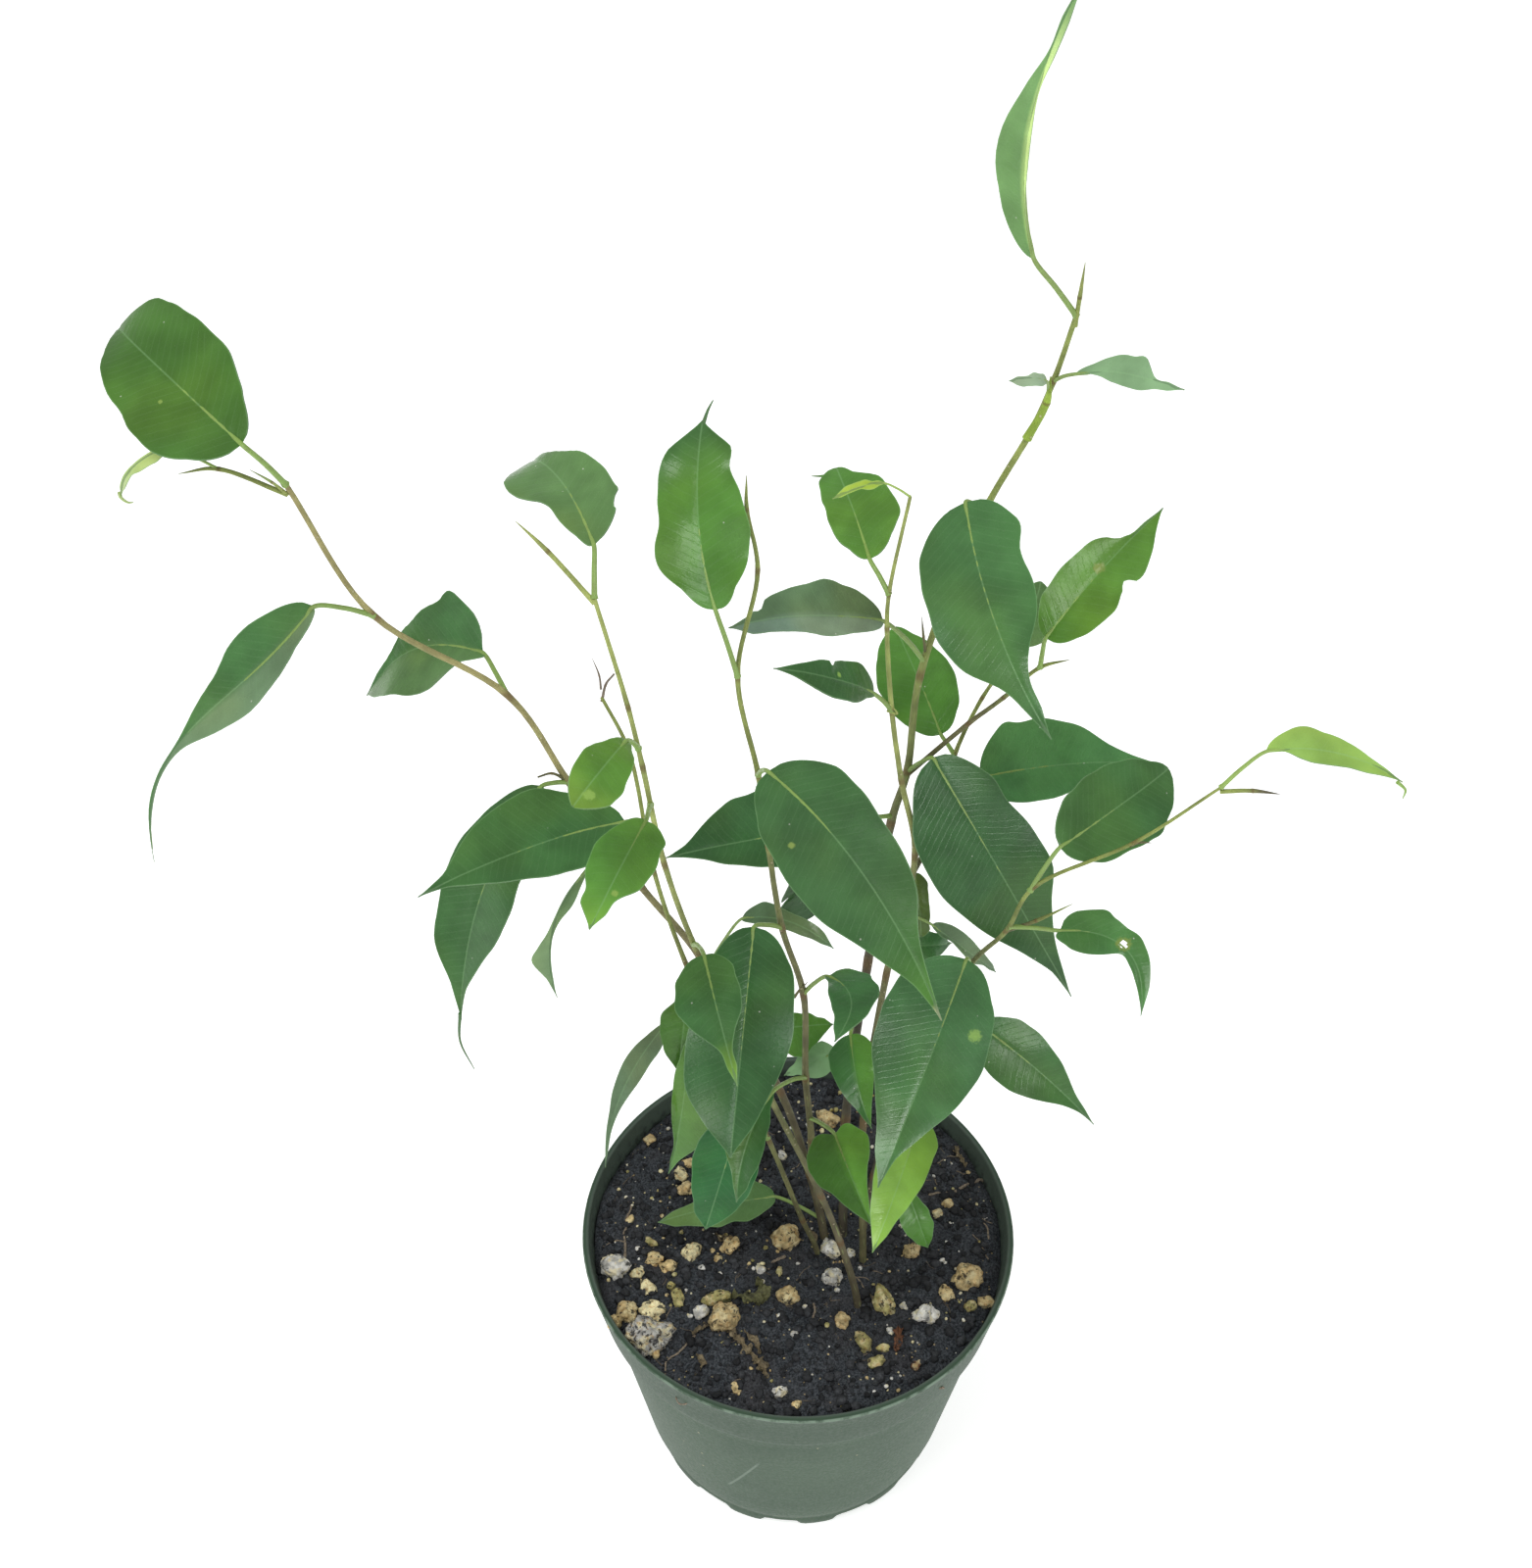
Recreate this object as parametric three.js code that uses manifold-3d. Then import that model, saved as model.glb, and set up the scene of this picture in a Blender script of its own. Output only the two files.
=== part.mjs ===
// Weeping fig (Ficus benjamina) in a green nursery pot. Millimetres, +Z up.
// The origin is the middle of the pot's flat underside, and -Y is the side that faces the room.
import * as THREE from "three";
import { mergeVertices } from "three/addons/utils/BufferGeometryUtils.js";
import Module from "manifold-3d";

const wasm = await Module();
wasm.setup();

// Pot
const POT_HEIGHT = 82;
const RIM_RADIUS = 57;
const RIM_DEPTH = 17;
const RIM_TAPER = 3;
const RIM_STEP = 2;
const RIM_SHOULDER = 1;
const LIP_ROUNDING = 0.6;
const LIP_DRAFT = 0.4;
const BASE_RADIUS = 42;
const WALL = 1.6;
const FLOOR = 2.5;
const POT_SIDES = 40;
const DRAIN_SLOTS = 13;
const DRAIN_START = 264;
const DRAIN_WIDTH = 10;
const DRAIN_HEIGHT = 2.2;
const DRAIN_DEPTH = 6;

// Soil
const SOIL_LEVEL = 77;
const SOIL_RELIEF = 1.3;
const SWELL = { x: 0.11, xStart: 0.7, y: 0.13, yStart: -0.4 };
const RIPPLE = { x: 0.29, y: -0.21, share: 0.5 };
const SOIL_RINGS = 6;
const SOIL_SIDES = 20;
const SOIL_GAP = 0.3;
const FACET_ROOM = 0.2;
const HOLE_GAP = 0.4;
const ROOTED_DEPTH = 19;
const PEBBLE_SHAPE = [1, 0.8, 0.7];
const PEBBLE_LIFT = 0.12;

// Leaves and stems
const BLADE_THICKNESS = 0.7;
const BLADE_STATIONS = [0, 0.04, 0.125, 0.25, 0.375, 0.5, 0.625, 0.75, 0.875, 0.96, 1];
const BASE_ROUNDING = 0.42;
const TIP_SHARPNESS = 1.1;
const TIP_HALF_WIDTH = 0.3;
const BLADE_FOLD = 8;
const BLADE_ARCH = 2;
const CURL_START = 0.7;
const EDGE_WAVES = 2.5;
const EDGE_LAG = 1.3;
const PETIOLE_RADIUS = 0.6;
const PETIOLE_STEPS = 3;
const PETIOLE_BEND = 0.12;
const PETIOLE_RISE = 0.03;
const PETIOLE_SIDES = 4;
const PETIOLE_OVERLAP = 2.5;
const STEM_SIDES = 6;
const STEM_TAPER = 0.7;
const STEPS_PER_NODE = 2;
const LIGHT = new THREE.Vector3(0, -0.77, 0.64);
const WELD = 1e-4;

const degrees = THREE.MathUtils.degToRad;
const vector = (point) => new THREE.Vector3(...point);

function solidOf(geometry) {
  const bare = geometry.clone();
  bare.deleteAttribute("normal");
  bare.deleteAttribute("uv");
  const merged = mergeVertices(bare, WELD);
  return new wasm.Manifold(
    new wasm.Mesh({
      numProp: 3,
      vertProperties: merged.attributes.position.array,
      triVerts: new Uint32Array(merged.index.array),
    }),
  );
}

function meshOf(name, solid, material) {
  const { vertProperties, triVerts } = solid.getMesh();
  const geometry = new THREE.BufferGeometry();
  geometry.setAttribute("position", new THREE.BufferAttribute(vertProperties, 3));
  geometry.setIndex(new THREE.BufferAttribute(triVerts, 1));
  geometry.computeVertexNormals();
  const mesh = new THREE.Mesh(geometry, material);
  mesh.name = name;
  return mesh;
}

// A round bar along a curve. It tapers from startRadius to endRadius, most at its start.
function bar(curve, startRadius, endRadius, sides, steps) {
  const section = new THREE.Shape();
  for (let i = 0; i < sides; i++) {
    const angle = (2 * Math.PI * i) / sides;
    const place = [Math.cos(angle), Math.sin(angle)];
    if (i === 0) section.moveTo(...place);
    else section.lineTo(...place);
  }
  section.closePath();
  const geometry = new THREE.ExtrudeGeometry(section, { steps, bevelEnabled: false, extrudePath: curve });
  const centres = curve.getSpacedPoints(steps);
  const position = geometry.attributes.position;
  const corner = new THREE.Vector3();
  for (let i = 0; i < position.count; i++) {
    corner.fromBufferAttribute(position, i);
    let nearest = 0;
    centres.forEach((centre, k) => {
      if (centre.distanceTo(corner) < centres[nearest].distanceTo(corner)) nearest = k;
    });
    const radius = THREE.MathUtils.lerp(startRadius, endRadius, (nearest / steps) ** STEM_TAPER);
    corner.sub(centres[nearest]).multiplyScalar(radius).add(centres[nearest]);
    position.setXYZ(i, corner.x, corner.y, corner.z);
  }
  return solidOf(geometry);
}

// A smooth curve that is divided at its nodes, so that a bar along it keeps every node in place.
class NodeCurve extends THREE.CatmullRomCurve3 {
  getPointAt(share, target) {
    return this.getPoint(share, target);
  }

  getTangentAt(share, target) {
    return this.getTangent(share, target);
  }
}

function stemCurve(stem) {
  const [x, y] = stem.route[0];
  const route = stem.rooted ? [[x, y, SOIL_LEVEL - ROOTED_DEPTH], ...stem.route] : stem.route;
  return new NodeCurve(route.map(vector), false, "centripetal");
}

function stemSteps(curve) {
  return STEPS_PER_NODE * (curve.points.length - 1);
}

// The point where the bar's middle line first comes nearest to a height.
function pointAtHeight(curve, height) {
  const line = curve.getSpacedPoints(stemSteps(curve));
  let best = line[0];
  for (let i = 0; i + 1 < line.length; i++) {
    const share = (height - line[i].z) / (line[i + 1].z - line[i].z);
    const point = line[i].clone().lerp(line[i + 1], THREE.MathUtils.clamp(share, 0, 1));
    if (Math.abs(point.z - height) < Math.abs(best.z - height) - 1e-6) best = point;
  }
  return best;
}

// Half the blade's width at a share t of its length, on the side of s. left and right hold it at
// each eighth of the length but the ends. The base is round, and the tip runs to a point.
function halfWidth(leaf, t, s) {
  const values = s < 0 ? leaf.left : leaf.right;
  const eighth = THREE.MathUtils.clamp(Math.round(8 * t), 1, 7);
  const base = Math.min(8 * t, 1) ** BASE_ROUNDING;
  const tip = Math.min(8 * (1 - t), 1) ** (leaf.sharp ?? TIP_SHARPNESS);
  return Math.max(values[eighth - 1] * base * tip, TIP_HALF_WIDTH);
}

// The point of a blade at a share t of its length and s of its half width (-1 to 1),
// and the blade's own up direction there.
function bladePoint(leaf, t, s) {
  const base = vector(leaf.base);
  const chord = vector(leaf.tip).sub(base);
  const along = chord.clone().normalize();
  const facing = LIGHT.clone().addScaledVector(along, -LIGHT.dot(along)).normalize();
  const roll = degrees((leaf.turn ?? 0) + (leaf.twist ?? 0) * (t - 0.5));
  const up = facing.applyAxisAngle(along, roll);
  const side = along.clone().cross(up);
  const bulge = 4 * t * (1 - t);
  const bow = t ** (Math.log(0.5) / Math.log(leaf.bendAt ?? 0.5));
  const swept = (leaf.sweep ?? 0) * 4 * bow * (1 - bow);
  const curled = Math.max(0, t - CURL_START) / (1 - CURL_START);
  const reach = s * halfWidth(leaf, t, s);
  const fold = degrees(leaf.fold ?? BLADE_FOLD);
  const phase = 2 * Math.PI * EDGE_WAVES * t + (s > 0 ? 0 : EDGE_LAG);
  const ripple = (leaf.wave ?? 0) * Math.sin(phase) * s * s * bulge;
  const lift = (leaf.arch ?? BLADE_ARCH) * bulge - (leaf.curl ?? 0) * curled ** 2;
  const point = base
    .addScaledVector(chord, t)
    .addScaledVector(side, reach * Math.cos(fold) + swept)
    .addScaledVector(up, Math.abs(reach) * Math.sin(fold) + lift + ripple);
  return { point, up };
}

// A thin closed blade: an upper and a lower sheet split into triangles alike, and a rim.
function blade(leaf) {
  const corners = [];
  const faces = [];
  const across = [-1, 0, 1];
  const steps = BLADE_STATIONS.length - 1;
  const sheet = across.length * BLADE_STATIONS.length;
  for (const face of [0.5, -0.5]) {
    for (const t of BLADE_STATIONS) {
      for (const s of across) {
        const { point, up } = bladePoint(leaf, t, s);
        corners.push(...point.addScaledVector(up, face * BLADE_THICKNESS).toArray());
      }
    }
  }
  const quad = (a, b, c, d) => faces.push(a, b, c, a, c, d);
  for (let i = 0; i < steps; i++) {
    for (let k = 0; k < 2; k++) {
      const a = 3 * i + k;
      faces.push(a, a + 1, a + 4, a, a + 4, a + 3);
      faces.push(sheet + a, sheet + a + 4, sheet + a + 1, sheet + a, sheet + a + 3, sheet + a + 4);
    }
    const left = 3 * i;
    const right = left + 2;
    quad(left, left + 3, sheet + left + 3, sheet + left);
    quad(right + 3, right, sheet + right, sheet + right + 3);
  }
  const last = 3 * steps;
  for (let k = 0; k < 2; k++) {
    quad(k + 1, k, sheet + k, sheet + k + 1);
    quad(last + k, last + k + 1, sheet + last + k + 1, sheet + last + k);
  }
  const geometry = new THREE.BufferGeometry();
  geometry.setAttribute("position", new THREE.BufferAttribute(new Float32Array(corners), 3));
  geometry.setIndex(faces);
  return solidOf(geometry);
}

// The stalk from the stem to the blade. It runs on a little way under the midrib.
function petiole(leaf, stem) {
  const start = pointAtHeight(stem, leaf.height);
  const base = vector(leaf.base);
  const inside = bladePoint(leaf, PETIOLE_OVERLAP / vector(leaf.tip).distanceTo(base), 0).point;
  const heading = inside.clone().sub(base).normalize();
  const length = start.distanceTo(base);
  const bend = base.clone().addScaledVector(heading, -PETIOLE_BEND * length);
  const knee = start.clone().lerp(bend, 0.5);
  knee.z += PETIOLE_RISE * length;
  const curve = new NodeCurve([start, knee, base, inside]);
  return bar(curve, PETIOLE_RADIUS, PETIOLE_RADIUS, PETIOLE_SIDES, PETIOLE_STEPS);
}

function stemBar(stem, extra = 0) {
  const curve = stemCurve(stem);
  return bar(curve, stem.thick / 2 + extra, stem.thin / 2 + extra, STEM_SIDES, stemSteps(curve));
}

// Each shoot is a group of stems. A stem's route holds its nodes, from the soil up.
// A leaf leaves its stem at a height, and its blade runs from base to tip. turn is the angle
// by which the blade is rolled away from the light. sweep is its bend to one side, greatest at bendAt.
const shoots = {
  shoot_left: [
    {
      rooted: true, thick: 2.6, thin: 1,
      route: [[7, -2, 78], [3, 3, 98], [-5, 6, 128], [-24, 8, 174], [-37, 8, 197], [-50, 5, 229],
        [-60, 2, 254], [-82, -4, 277], [-92, -8, 307]],
      leaves: [
        { height: 307, base: [-96, -14, 318], tip: [-124, 14, 327], sharp: 0.55, curl: 2,
          left: [8, 11, 11.5, 10.5, 9.5, 8, 5.5], right: [6, 9, 11, 11, 10.5, 9.5, 8] },
        { height: 277, base: [-91, -10, 283], tip: [-124, -32, 240], turn: 15, sweep: 8, bendAt: 0.7,
          fold: 18,
          left: [3, 6, 7, 5, 1.5, 0.5, 0.5], right: [6.5, 7, 4, 2, 0.5, 0.5, 0.5] },
        { height: 254, base: [-65, 8, 260], tip: [-93, 18, 242], turn: 20, sweep: 5, fold: 20,
          left: [3.5, 9, 11.5, 11, 9.5, 7.5, 4.5], right: [11.5, 9.5, 7.5, 6, 5, 2, 1] },
        { height: 229, base: [-55, 0, 232], tip: [-74, -22, 185], turn: 15, sweep: 4,
          left: [8, 8, 7, 8, 7, 4, 1], right: [6, 8, 9, 9, 8.5, 7, 2.5] },
        { height: 208, base: [-48, 2, 206], tip: [-55, -10, 179], twist: 20, sweep: 4,
          left: [1.5, 2, 1, 0.5, 0.5, 0.5, 0.5], right: [0.5, 0.5, 0.5, 1, 2.5, 4, 1] },
        { height: 174, base: [-33, 12, 146], tip: [-50, 2, 102], turn: 20, sweep: 3,
          left: [3, 3, 3, 2, 1, 0.5, 0.5], right: [2, 3, 3, 2.5, 1.5, 1, 0.5] },
        { height: 168, base: [-27, 10, 160], tip: [-30, 4, 137],
          left: [2, 3.5, 4, 3.5, 3, 2.5, 1], right: [3, 5.5, 6, 5.5, 4.5, 3.5, 1.5] },
        { height: 150, base: [-27, 4, 149], tip: [-33, -6, 110], sweep: -1,
          left: [3.5, 6, 7.5, 8, 7, 4.5, 1.5], right: [2, 3, 3, 2.5, 1.5, 0.5, 0.5] },
        { height: 146, base: [-6, 11, 145], tip: [8, 10, 148], turn: -15,
          left: [2.5, 3.5, 3.5, 3, 3, 2, 1.5], right: [5, 7, 7.5, 7.5, 5.5, 4, 2] },
        { height: 168, base: [-14, 10, 184], tip: [7, 4, 180], curl: 2, sweep: -3,
          left: [3.5, 3.5, 2.5, 2, 2, 2, 1.5], right: [1.5, 2, 2, 2, 2, 1.5, 1] },
        { height: 84, base: [-6, 4, 87], tip: [-37, -2, 84], turn: 35,
          left: [4, 5.5, 5, 6, 5, 3.5, 2.5], right: [4.5, 6, 5.5, 4.5, 3, 2, 1.5] },
      ],
    },
    {
      thick: 1, thin: 0.6,
      route: [[-92, -8, 305], [-103, -8, 310], [-111, -6, 308]],
      leaves: [
        { height: 310, base: [-112, -6, 313], tip: [-124, -2, 301], sweep: 1,
          left: [1.5, 1.5, 1.5, 1, 1, 1, 0.5], right: [0.5, 0.5, 0.5, 0.5, 0.5, 0.5, 0.5] },
      ],
    },
    {
      thick: 1.2, thin: 0.7,
      route: [[-50, 5, 229], [-53, 3, 233], [-56, 3, 232]],
      leaves: [],
    },
    {
      thick: 2, thin: 0.7,
      route: [[3, 3, 99], [3, 0, 116], [1, -5, 146], [0, -6, 176], [-5, -8, 199], [-8, -8, 223],
        [-10, -6, 240], [-14, 0, 260], [-10, 4, 282], [-12, 6, 294], [-12, 6, 301]],
      leaves: [
        { height: 260, base: [-18, -2, 277], tip: [-20, 12, 309], wave: 1, sweep: -2,
          left: [5, 8.5, 8.5, 7.5, 7.5, 7, 5.5], right: [5, 8, 9.5, 9.5, 8, 6, 5.5] },
        { height: 240, base: [-8, -16, 249], tip: [23, -62, 229], turn: 10, sweep: -4,
          left: [9, 10, 9.5, 8.5, 7, 3, 1], right: [8.5, 11.5, 12.5, 12, 9, 5.5, 2] },
        { height: 199, base: [-11, -14, 205], tip: [-16, -44, 166], fold: 3,
          left: [8, 10, 10.5, 10, 8, 6, 3.5], right: [7.5, 9.5, 11, 11.5, 11.5, 10, 5.5] },
        { height: 176, base: [5, -10, 186], tip: [6, -30, 187], sweep: -4.5,
          left: [6.5, 6.5, 6.5, 6, 5, 4, 2], right: [2, 3.5, 4.5, 4.5, 4, 3, 2] },
        { height: 146, base: [-7, -22, 161], tip: [-15, -40, 145], sweep: 2,
          left: [1.5, 3, 3.5, 4, 4, 3, 2], right: [4, 4.5, 5, 5, 4, 2, 1] },
        { height: 126, base: [8, -11.5, 133], tip: [16, -34, 128],
          left: [6.5, 7, 6, 4.5, 3, 2, 1], right: [7.5, 8.5, 8.5, 7.5, 5.5, 4, 2] },
      ],
    },
  ],
  shoot_front: [
    {
      rooted: true, thick: 2.2, thin: 0.8,
      route: [[15, -22, 78], [10, -19, 100], [5, -17, 116], [-8, -14, 151], [-23, -14, 197],
        [-29, -16, 225], [-32, -18, 252], [-34, -18, 266], [-39, -15, 288]],
      leaves: [
        { height: 288, base: [-39, -10, 296], tip: [-53.5, 18, 299], sharp: 0.3, curl: 2, sweep: 2,
          left: [2.5, 4, 4.5, 6.5, 8.5, 8.5, 7], right: [7.5, 8, 8, 7.5, 6, 4, 2.5] },
        { height: 257, base: [-34, -24, 263], tip: [-42, -44, 264], sharp: 0.6,
          left: [2, 3.5, 4.5, 5, 5.5, 5.5, 4.5], right: [2, 3, 4, 4.5, 4.5, 4, 3] },
        { height: 241, base: [-31, -28, 247], tip: [-40, -52, 242],
          left: [5, 5.5, 6, 5.5, 4.5, 2, 1.5], right: [3.5, 5, 6, 6, 5.5, 4, 3.5] },
        { height: 199, base: [-21, -28, 211], tip: [-14, -52, 199],
          left: [5, 5.5, 5.5, 4.5, 2.5, 1, 1], right: [6, 7.5, 8, 6.5, 4, 1.5, 1] },
      ],
    },
    {
      thick: 1.1, thin: 0.7,
      route: [[-39, -15, 287], [-47, -12, 296], [-52, -12, 302]],
      leaves: [],
    },
  ],
  shoot_thin: [
    {
      rooted: true, thick: 1.8, thin: 0.7,
      route: [[5, -7, 78], [1, -7, 92], [-8, -12, 132], [-26, -10, 190], [-32, -8, 216], [-36, -4, 245],
        [-41, 0, 255]],
      leaves: [
        { height: 228, base: [-37, -10, 231], tip: [-76, -30, 229], turn: 25, sweep: 1,
          left: [5, 8, 8, 7.5, 6, 3.5, 1], right: [7, 10, 11.5, 10.5, 9, 5.5, 1.5] },
        { height: 132, base: [-14, -16, 147], tip: [-23, -26, 115],
          left: [4.5, 6.5, 7.5, 7.5, 7, 5.5, 3], right: [5.5, 7.5, 8, 7.5, 6.5, 5, 3.5] },
      ],
    },
    {
      thick: 1.1, thin: 0.7,
      route: [[-41, 0, 254], [-40, 0, 258], [-38, -2, 262]],
      leaves: [],
    },
  ],
  shoot_tall: [
    {
      rooted: true, thick: 2.8, thin: 1,
      route: [[12, -1, 78], [12, 8, 114], [16, 14, 166], [20, 20, 205], [23, 22, 218], [25, 28, 240],
        [36, 32, 278], [44, 32, 297], [47, 32, 307], [49, 28, 322]],
      leaves: [
        { height: 322, base: [39, 22, 335], tip: [40, 8, 385], turn: -50, fold: 30, arch: 3, sweep: -3.6,
          bendAt: 0.45,
          left: [4, 5, 5.5, 4.5, 2.5, 0.5, 0.5], right: [1, 1, 1, 1, 0.5, 1.5, 1.5] },
        { height: 307, base: [50, 27, 311], tip: [67, 12, 315], twist: 60, sweep: -1, arch: 1,
          left: [2, 3, 3.5, 3.5, 3.5, 0.5, 0.5], right: [0.5, 1, 2, 2.5, 2.5, 1.5, 1] },
        { height: 304, base: [45, 28, 309], tip: [37.5, 26, 310],
          left: [1, 1.5, 1.5, 1.5, 1.5, 1.5, 1], right: [1, 1, 1, 1, 0.5, 0.5, 0.5] },
        { height: 243, base: [16, 24, 257], tip: [-16, 14, 262], turn: 20, sweep: 1,
          left: [3.5, 4.5, 5, 4, 3.5, 3, 2.5], right: [5.5, 7, 7.5, 6.5, 6, 4.5, 1.5] },
        { height: 279, base: [31, 24, 285], tip: [48, -6, 249], sweep: 3,
          left: [9.5, 9, 9.5, 8.5, 4.5, 2, 1.5], right: [10.5, 12, 12, 11.5, 9.5, 4, 1.5] },
        { height: 218, base: [28, 18, 225], tip: [64, 6, 162],
          left: [8.5, 9.5, 11, 11, 7, 3.5, 1.5], right: [11, 14, 14, 12.5, 9, 4.5, 1] },
        { height: 207, base: [2, 8, 213], tip: [-30, 0, 212], turn: 15,
          left: [4.5, 7, 7, 6, 4.5, 2.5, 1], right: [8, 10, 10, 9.5, 7.5, 4.5, 1.5] },
        { height: 183, base: [4, 16.5, 180], tip: [-3, 12.5, 195], arch: 0,
          left: [5, 6, 6.5, 6.5, 6, 4.5, 1.5], right: [1.5, 2.5, 3, 3, 2.5, 2, 1] },
        { height: 138, base: [9, 8, 140], tip: [-4, 4, 136], turn: 15,
          left: [3.5, 4, 4.5, 4, 3, 1.5, 1], right: [3.5, 4, 4.5, 4, 3, 1.5, 1] },
        { height: 155, base: [12, 5, 150], tip: [17, -10, 133], sweep: 1,
          left: [5, 5, 4.5, 4, 3, 2, 1], right: [5.5, 6, 5.5, 4.5, 3.5, 2, 1] },
      ],
    },
    {
      thick: 1, thin: 0.7,
      route: [[49, 28, 320], [49, 27, 326], [49, 26, 333]],
      leaves: [],
    },
    {
      thick: 1.2, thin: 0.8,
      route: [[23, 22, 217], [36, 24, 230], [43, 24, 237], [50, 24, 245], [56, 24, 247]],
      leaves: [
        { height: 245, base: [50, 22, 254], tip: [73, 34, 278], sweep: -1,
          left: [5.5, 6.5, 6.5, 6, 5, 1, 0.5], right: [5.5, 7, 7.5, 6, 7, 5.5, 2.5] },
      ],
    },
  ],
  shoot_right: [
    {
      rooted: true, thick: 2.3, thin: 0.7,
      route: [[17, -9, 78], [16, 2, 121], [20, 8, 168], [25, 12, 202], [21, 14, 222], [18, 14, 241],
        [16, 14, 262], [16, 14, 270], [19, 14, 292]],
      leaves: [
        { height: 292, base: [14, 14, 295], tip: [4, 8, 295], arch: 1, sweep: 0.5,
          left: [0.5, 1, 1, 0.5, 0.5, 0.5, 0.5], right: [0.5, 0.5, 1, 1, 1, 1, 0.5] },
        { height: 270, base: [12, 16, 277], tip: [6, 40, 284], sharp: 0.5,
          left: [3.5, 5, 5.5, 5.5, 5.5, 5, 4], right: [5.5, 8, 9, 8.5, 8, 6, 2.5] },
        { height: 241, base: [14, 12, 247], tip: [-7, 0, 262], turn: 25,
          left: [2, 4, 5, 5, 4, 2.5, 1], right: [4.5, 5, 4.5, 3.5, 3, 2, 1] },
        { height: 185, base: [30, 10, 182], tip: [47, 14, 162],
          left: [2.5, 3, 3, 2.5, 2, 1.5, 1], right: [1, 0.5, 1, 1.5, 1.5, 0.5, 0.5] },
        { height: 168, base: [25, 16, 169], tip: [37, 22, 164],
          left: [2.5, 3.5, 3.5, 3, 2.5, 1.5, 0.5], right: [2.5, 3.5, 3.5, 3, 2.5, 1.5, 0.5] },
      ],
    },
    {
      thick: 1.4, thin: 0.8,
      route: [[25, 12, 197], [30, 22, 199], [35, 34, 213], [41, 40, 225], [47, 42, 235]],
      leaves: [
        { height: 213, base: [32, 38, 216], tip: [22, 60, 231], sharp: 0.6,
          left: [6, 8.5, 9, 9.5, 9, 7.5, 5.5], right: [5.5, 7.5, 8, 8, 7, 5.5, 3] },
        { height: 235, base: [49, 42, 238], tip: [53, 50, 250], sharp: 0.6,
          left: [4, 5, 5, 5, 4.5, 3.5, 2.5], right: [4, 5, 5, 5, 4.5, 3.5, 2.5] },
        { height: 206, base: [41, 32, 208], tip: [80, 26, 217], turn: -15, sweep: -1,
          left: [10.5, 11, 11, 10, 8, 4, 1.5], right: [6.5, 8, 8, 7, 5.5, 3.5, 1.5] },
        { height: 199, base: [26, 18, 191], tip: [28, 12, 176], sharp: 0.5,
          left: [2.5, 2.5, 2.5, 2.5, 2.5, 2, 2], right: [1.5, 2, 2.5, 2.5, 2.5, 2, 1.5] },
      ],
    },
    {
      thick: 1.9, thin: 0.6,
      route: [[17, -6.4, 88], [19, -2, 104], [26, 4, 135], [38, 0, 179], [44, -6, 196], [48, -10, 213],
        [66, -14, 229], [80, -16, 245]],
      leaves: [
        { height: 245, base: [87, -16, 254], tip: [111, -24, 253], turn: -20, sweep: -2,
          left: [4, 4.5, 3.5, 3, 2, 1, 0.5], right: [0.5, 2, 3, 3, 2.5, 2, 1] },
        { height: 211, base: [52, -10, 224], tip: [78, 12, 227], sharp: 0.6,
          left: [7, 9, 9.5, 9, 8, 6.5, 4], right: [6.5, 8.5, 9, 9.5, 9.5, 8, 5.5] },
        { height: 197, base: [55, -8, 198], tip: [72, -22, 186], sweep: -7.5,
          left: [6.5, 5, 4, 4, 3.5, 3, 2], right: [4.5, 6, 4.5, 1.5, 1.5, 1.5, 1] },
        { height: 180, base: [36, -6, 187], tip: [16, -42, 153], fold: 4,
          left: [8.5, 11, 11.5, 10.5, 8, 4.5, 1], right: [11.5, 13.5, 13.5, 12, 9, 6, 3.5] },
        { height: 157, base: [42, 2, 157], tip: [71, -8, 132], sweep: -1,
          left: [6, 7, 6.5, 5.5, 4, 2, 1], right: [6, 8, 8, 7, 4.5, 2, 0.5] },
        { height: 128, base: [28, -14, 142], tip: [16, -40, 126],
          left: [5.5, 5.5, 5.5, 5, 4, 2.5, 1.5], right: [4.5, 6.5, 7, 6.5, 5.5, 4, 2] },
        { height: 104, base: [27, -6, 105], tip: [33, -14, 90],
          left: [1.5, 2.5, 3.5, 3.5, 3.5, 2.5, 1.5], right: [3, 4, 4.5, 4.5, 4, 3, 2] },
      ],
    },
    {
      thick: 1, thin: 0.7,
      route: [[79, -16, 244.4], [86, -17, 245], [91, -18, 245]],
      leaves: [],
    },
    {
      thick: 1, thin: 0.7,
      route: [[44, -6, 196], [50, -7, 200], [57, -8, 206]],
      leaves: [],
    },
  ],
};

// The biggest pebbles of perlite and bark on the soil: place and greatest width.
const pebbles = [
  { at: [-37, -32], size: 11 }, { at: [-48, -12], size: 7 }, { at: [-18, -5], size: 5 },
  { at: [-3, -3], size: 7 }, { at: [22, -22], size: 8 }, { at: [44, -15], size: 7 },
  { at: [-44, -24], size: 6 }, { at: [9, 37], size: 6 }, { at: [-37, -25], size: 6 },
  { at: [-19, -27], size: 8 }, { at: [32, -26], size: 6 }, { at: [16, -33], size: 6 },
  { at: [19, -39], size: 5 }, { at: [-28, -7], size: 5 }, { at: [-30, 13], size: 5 },
];

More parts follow.
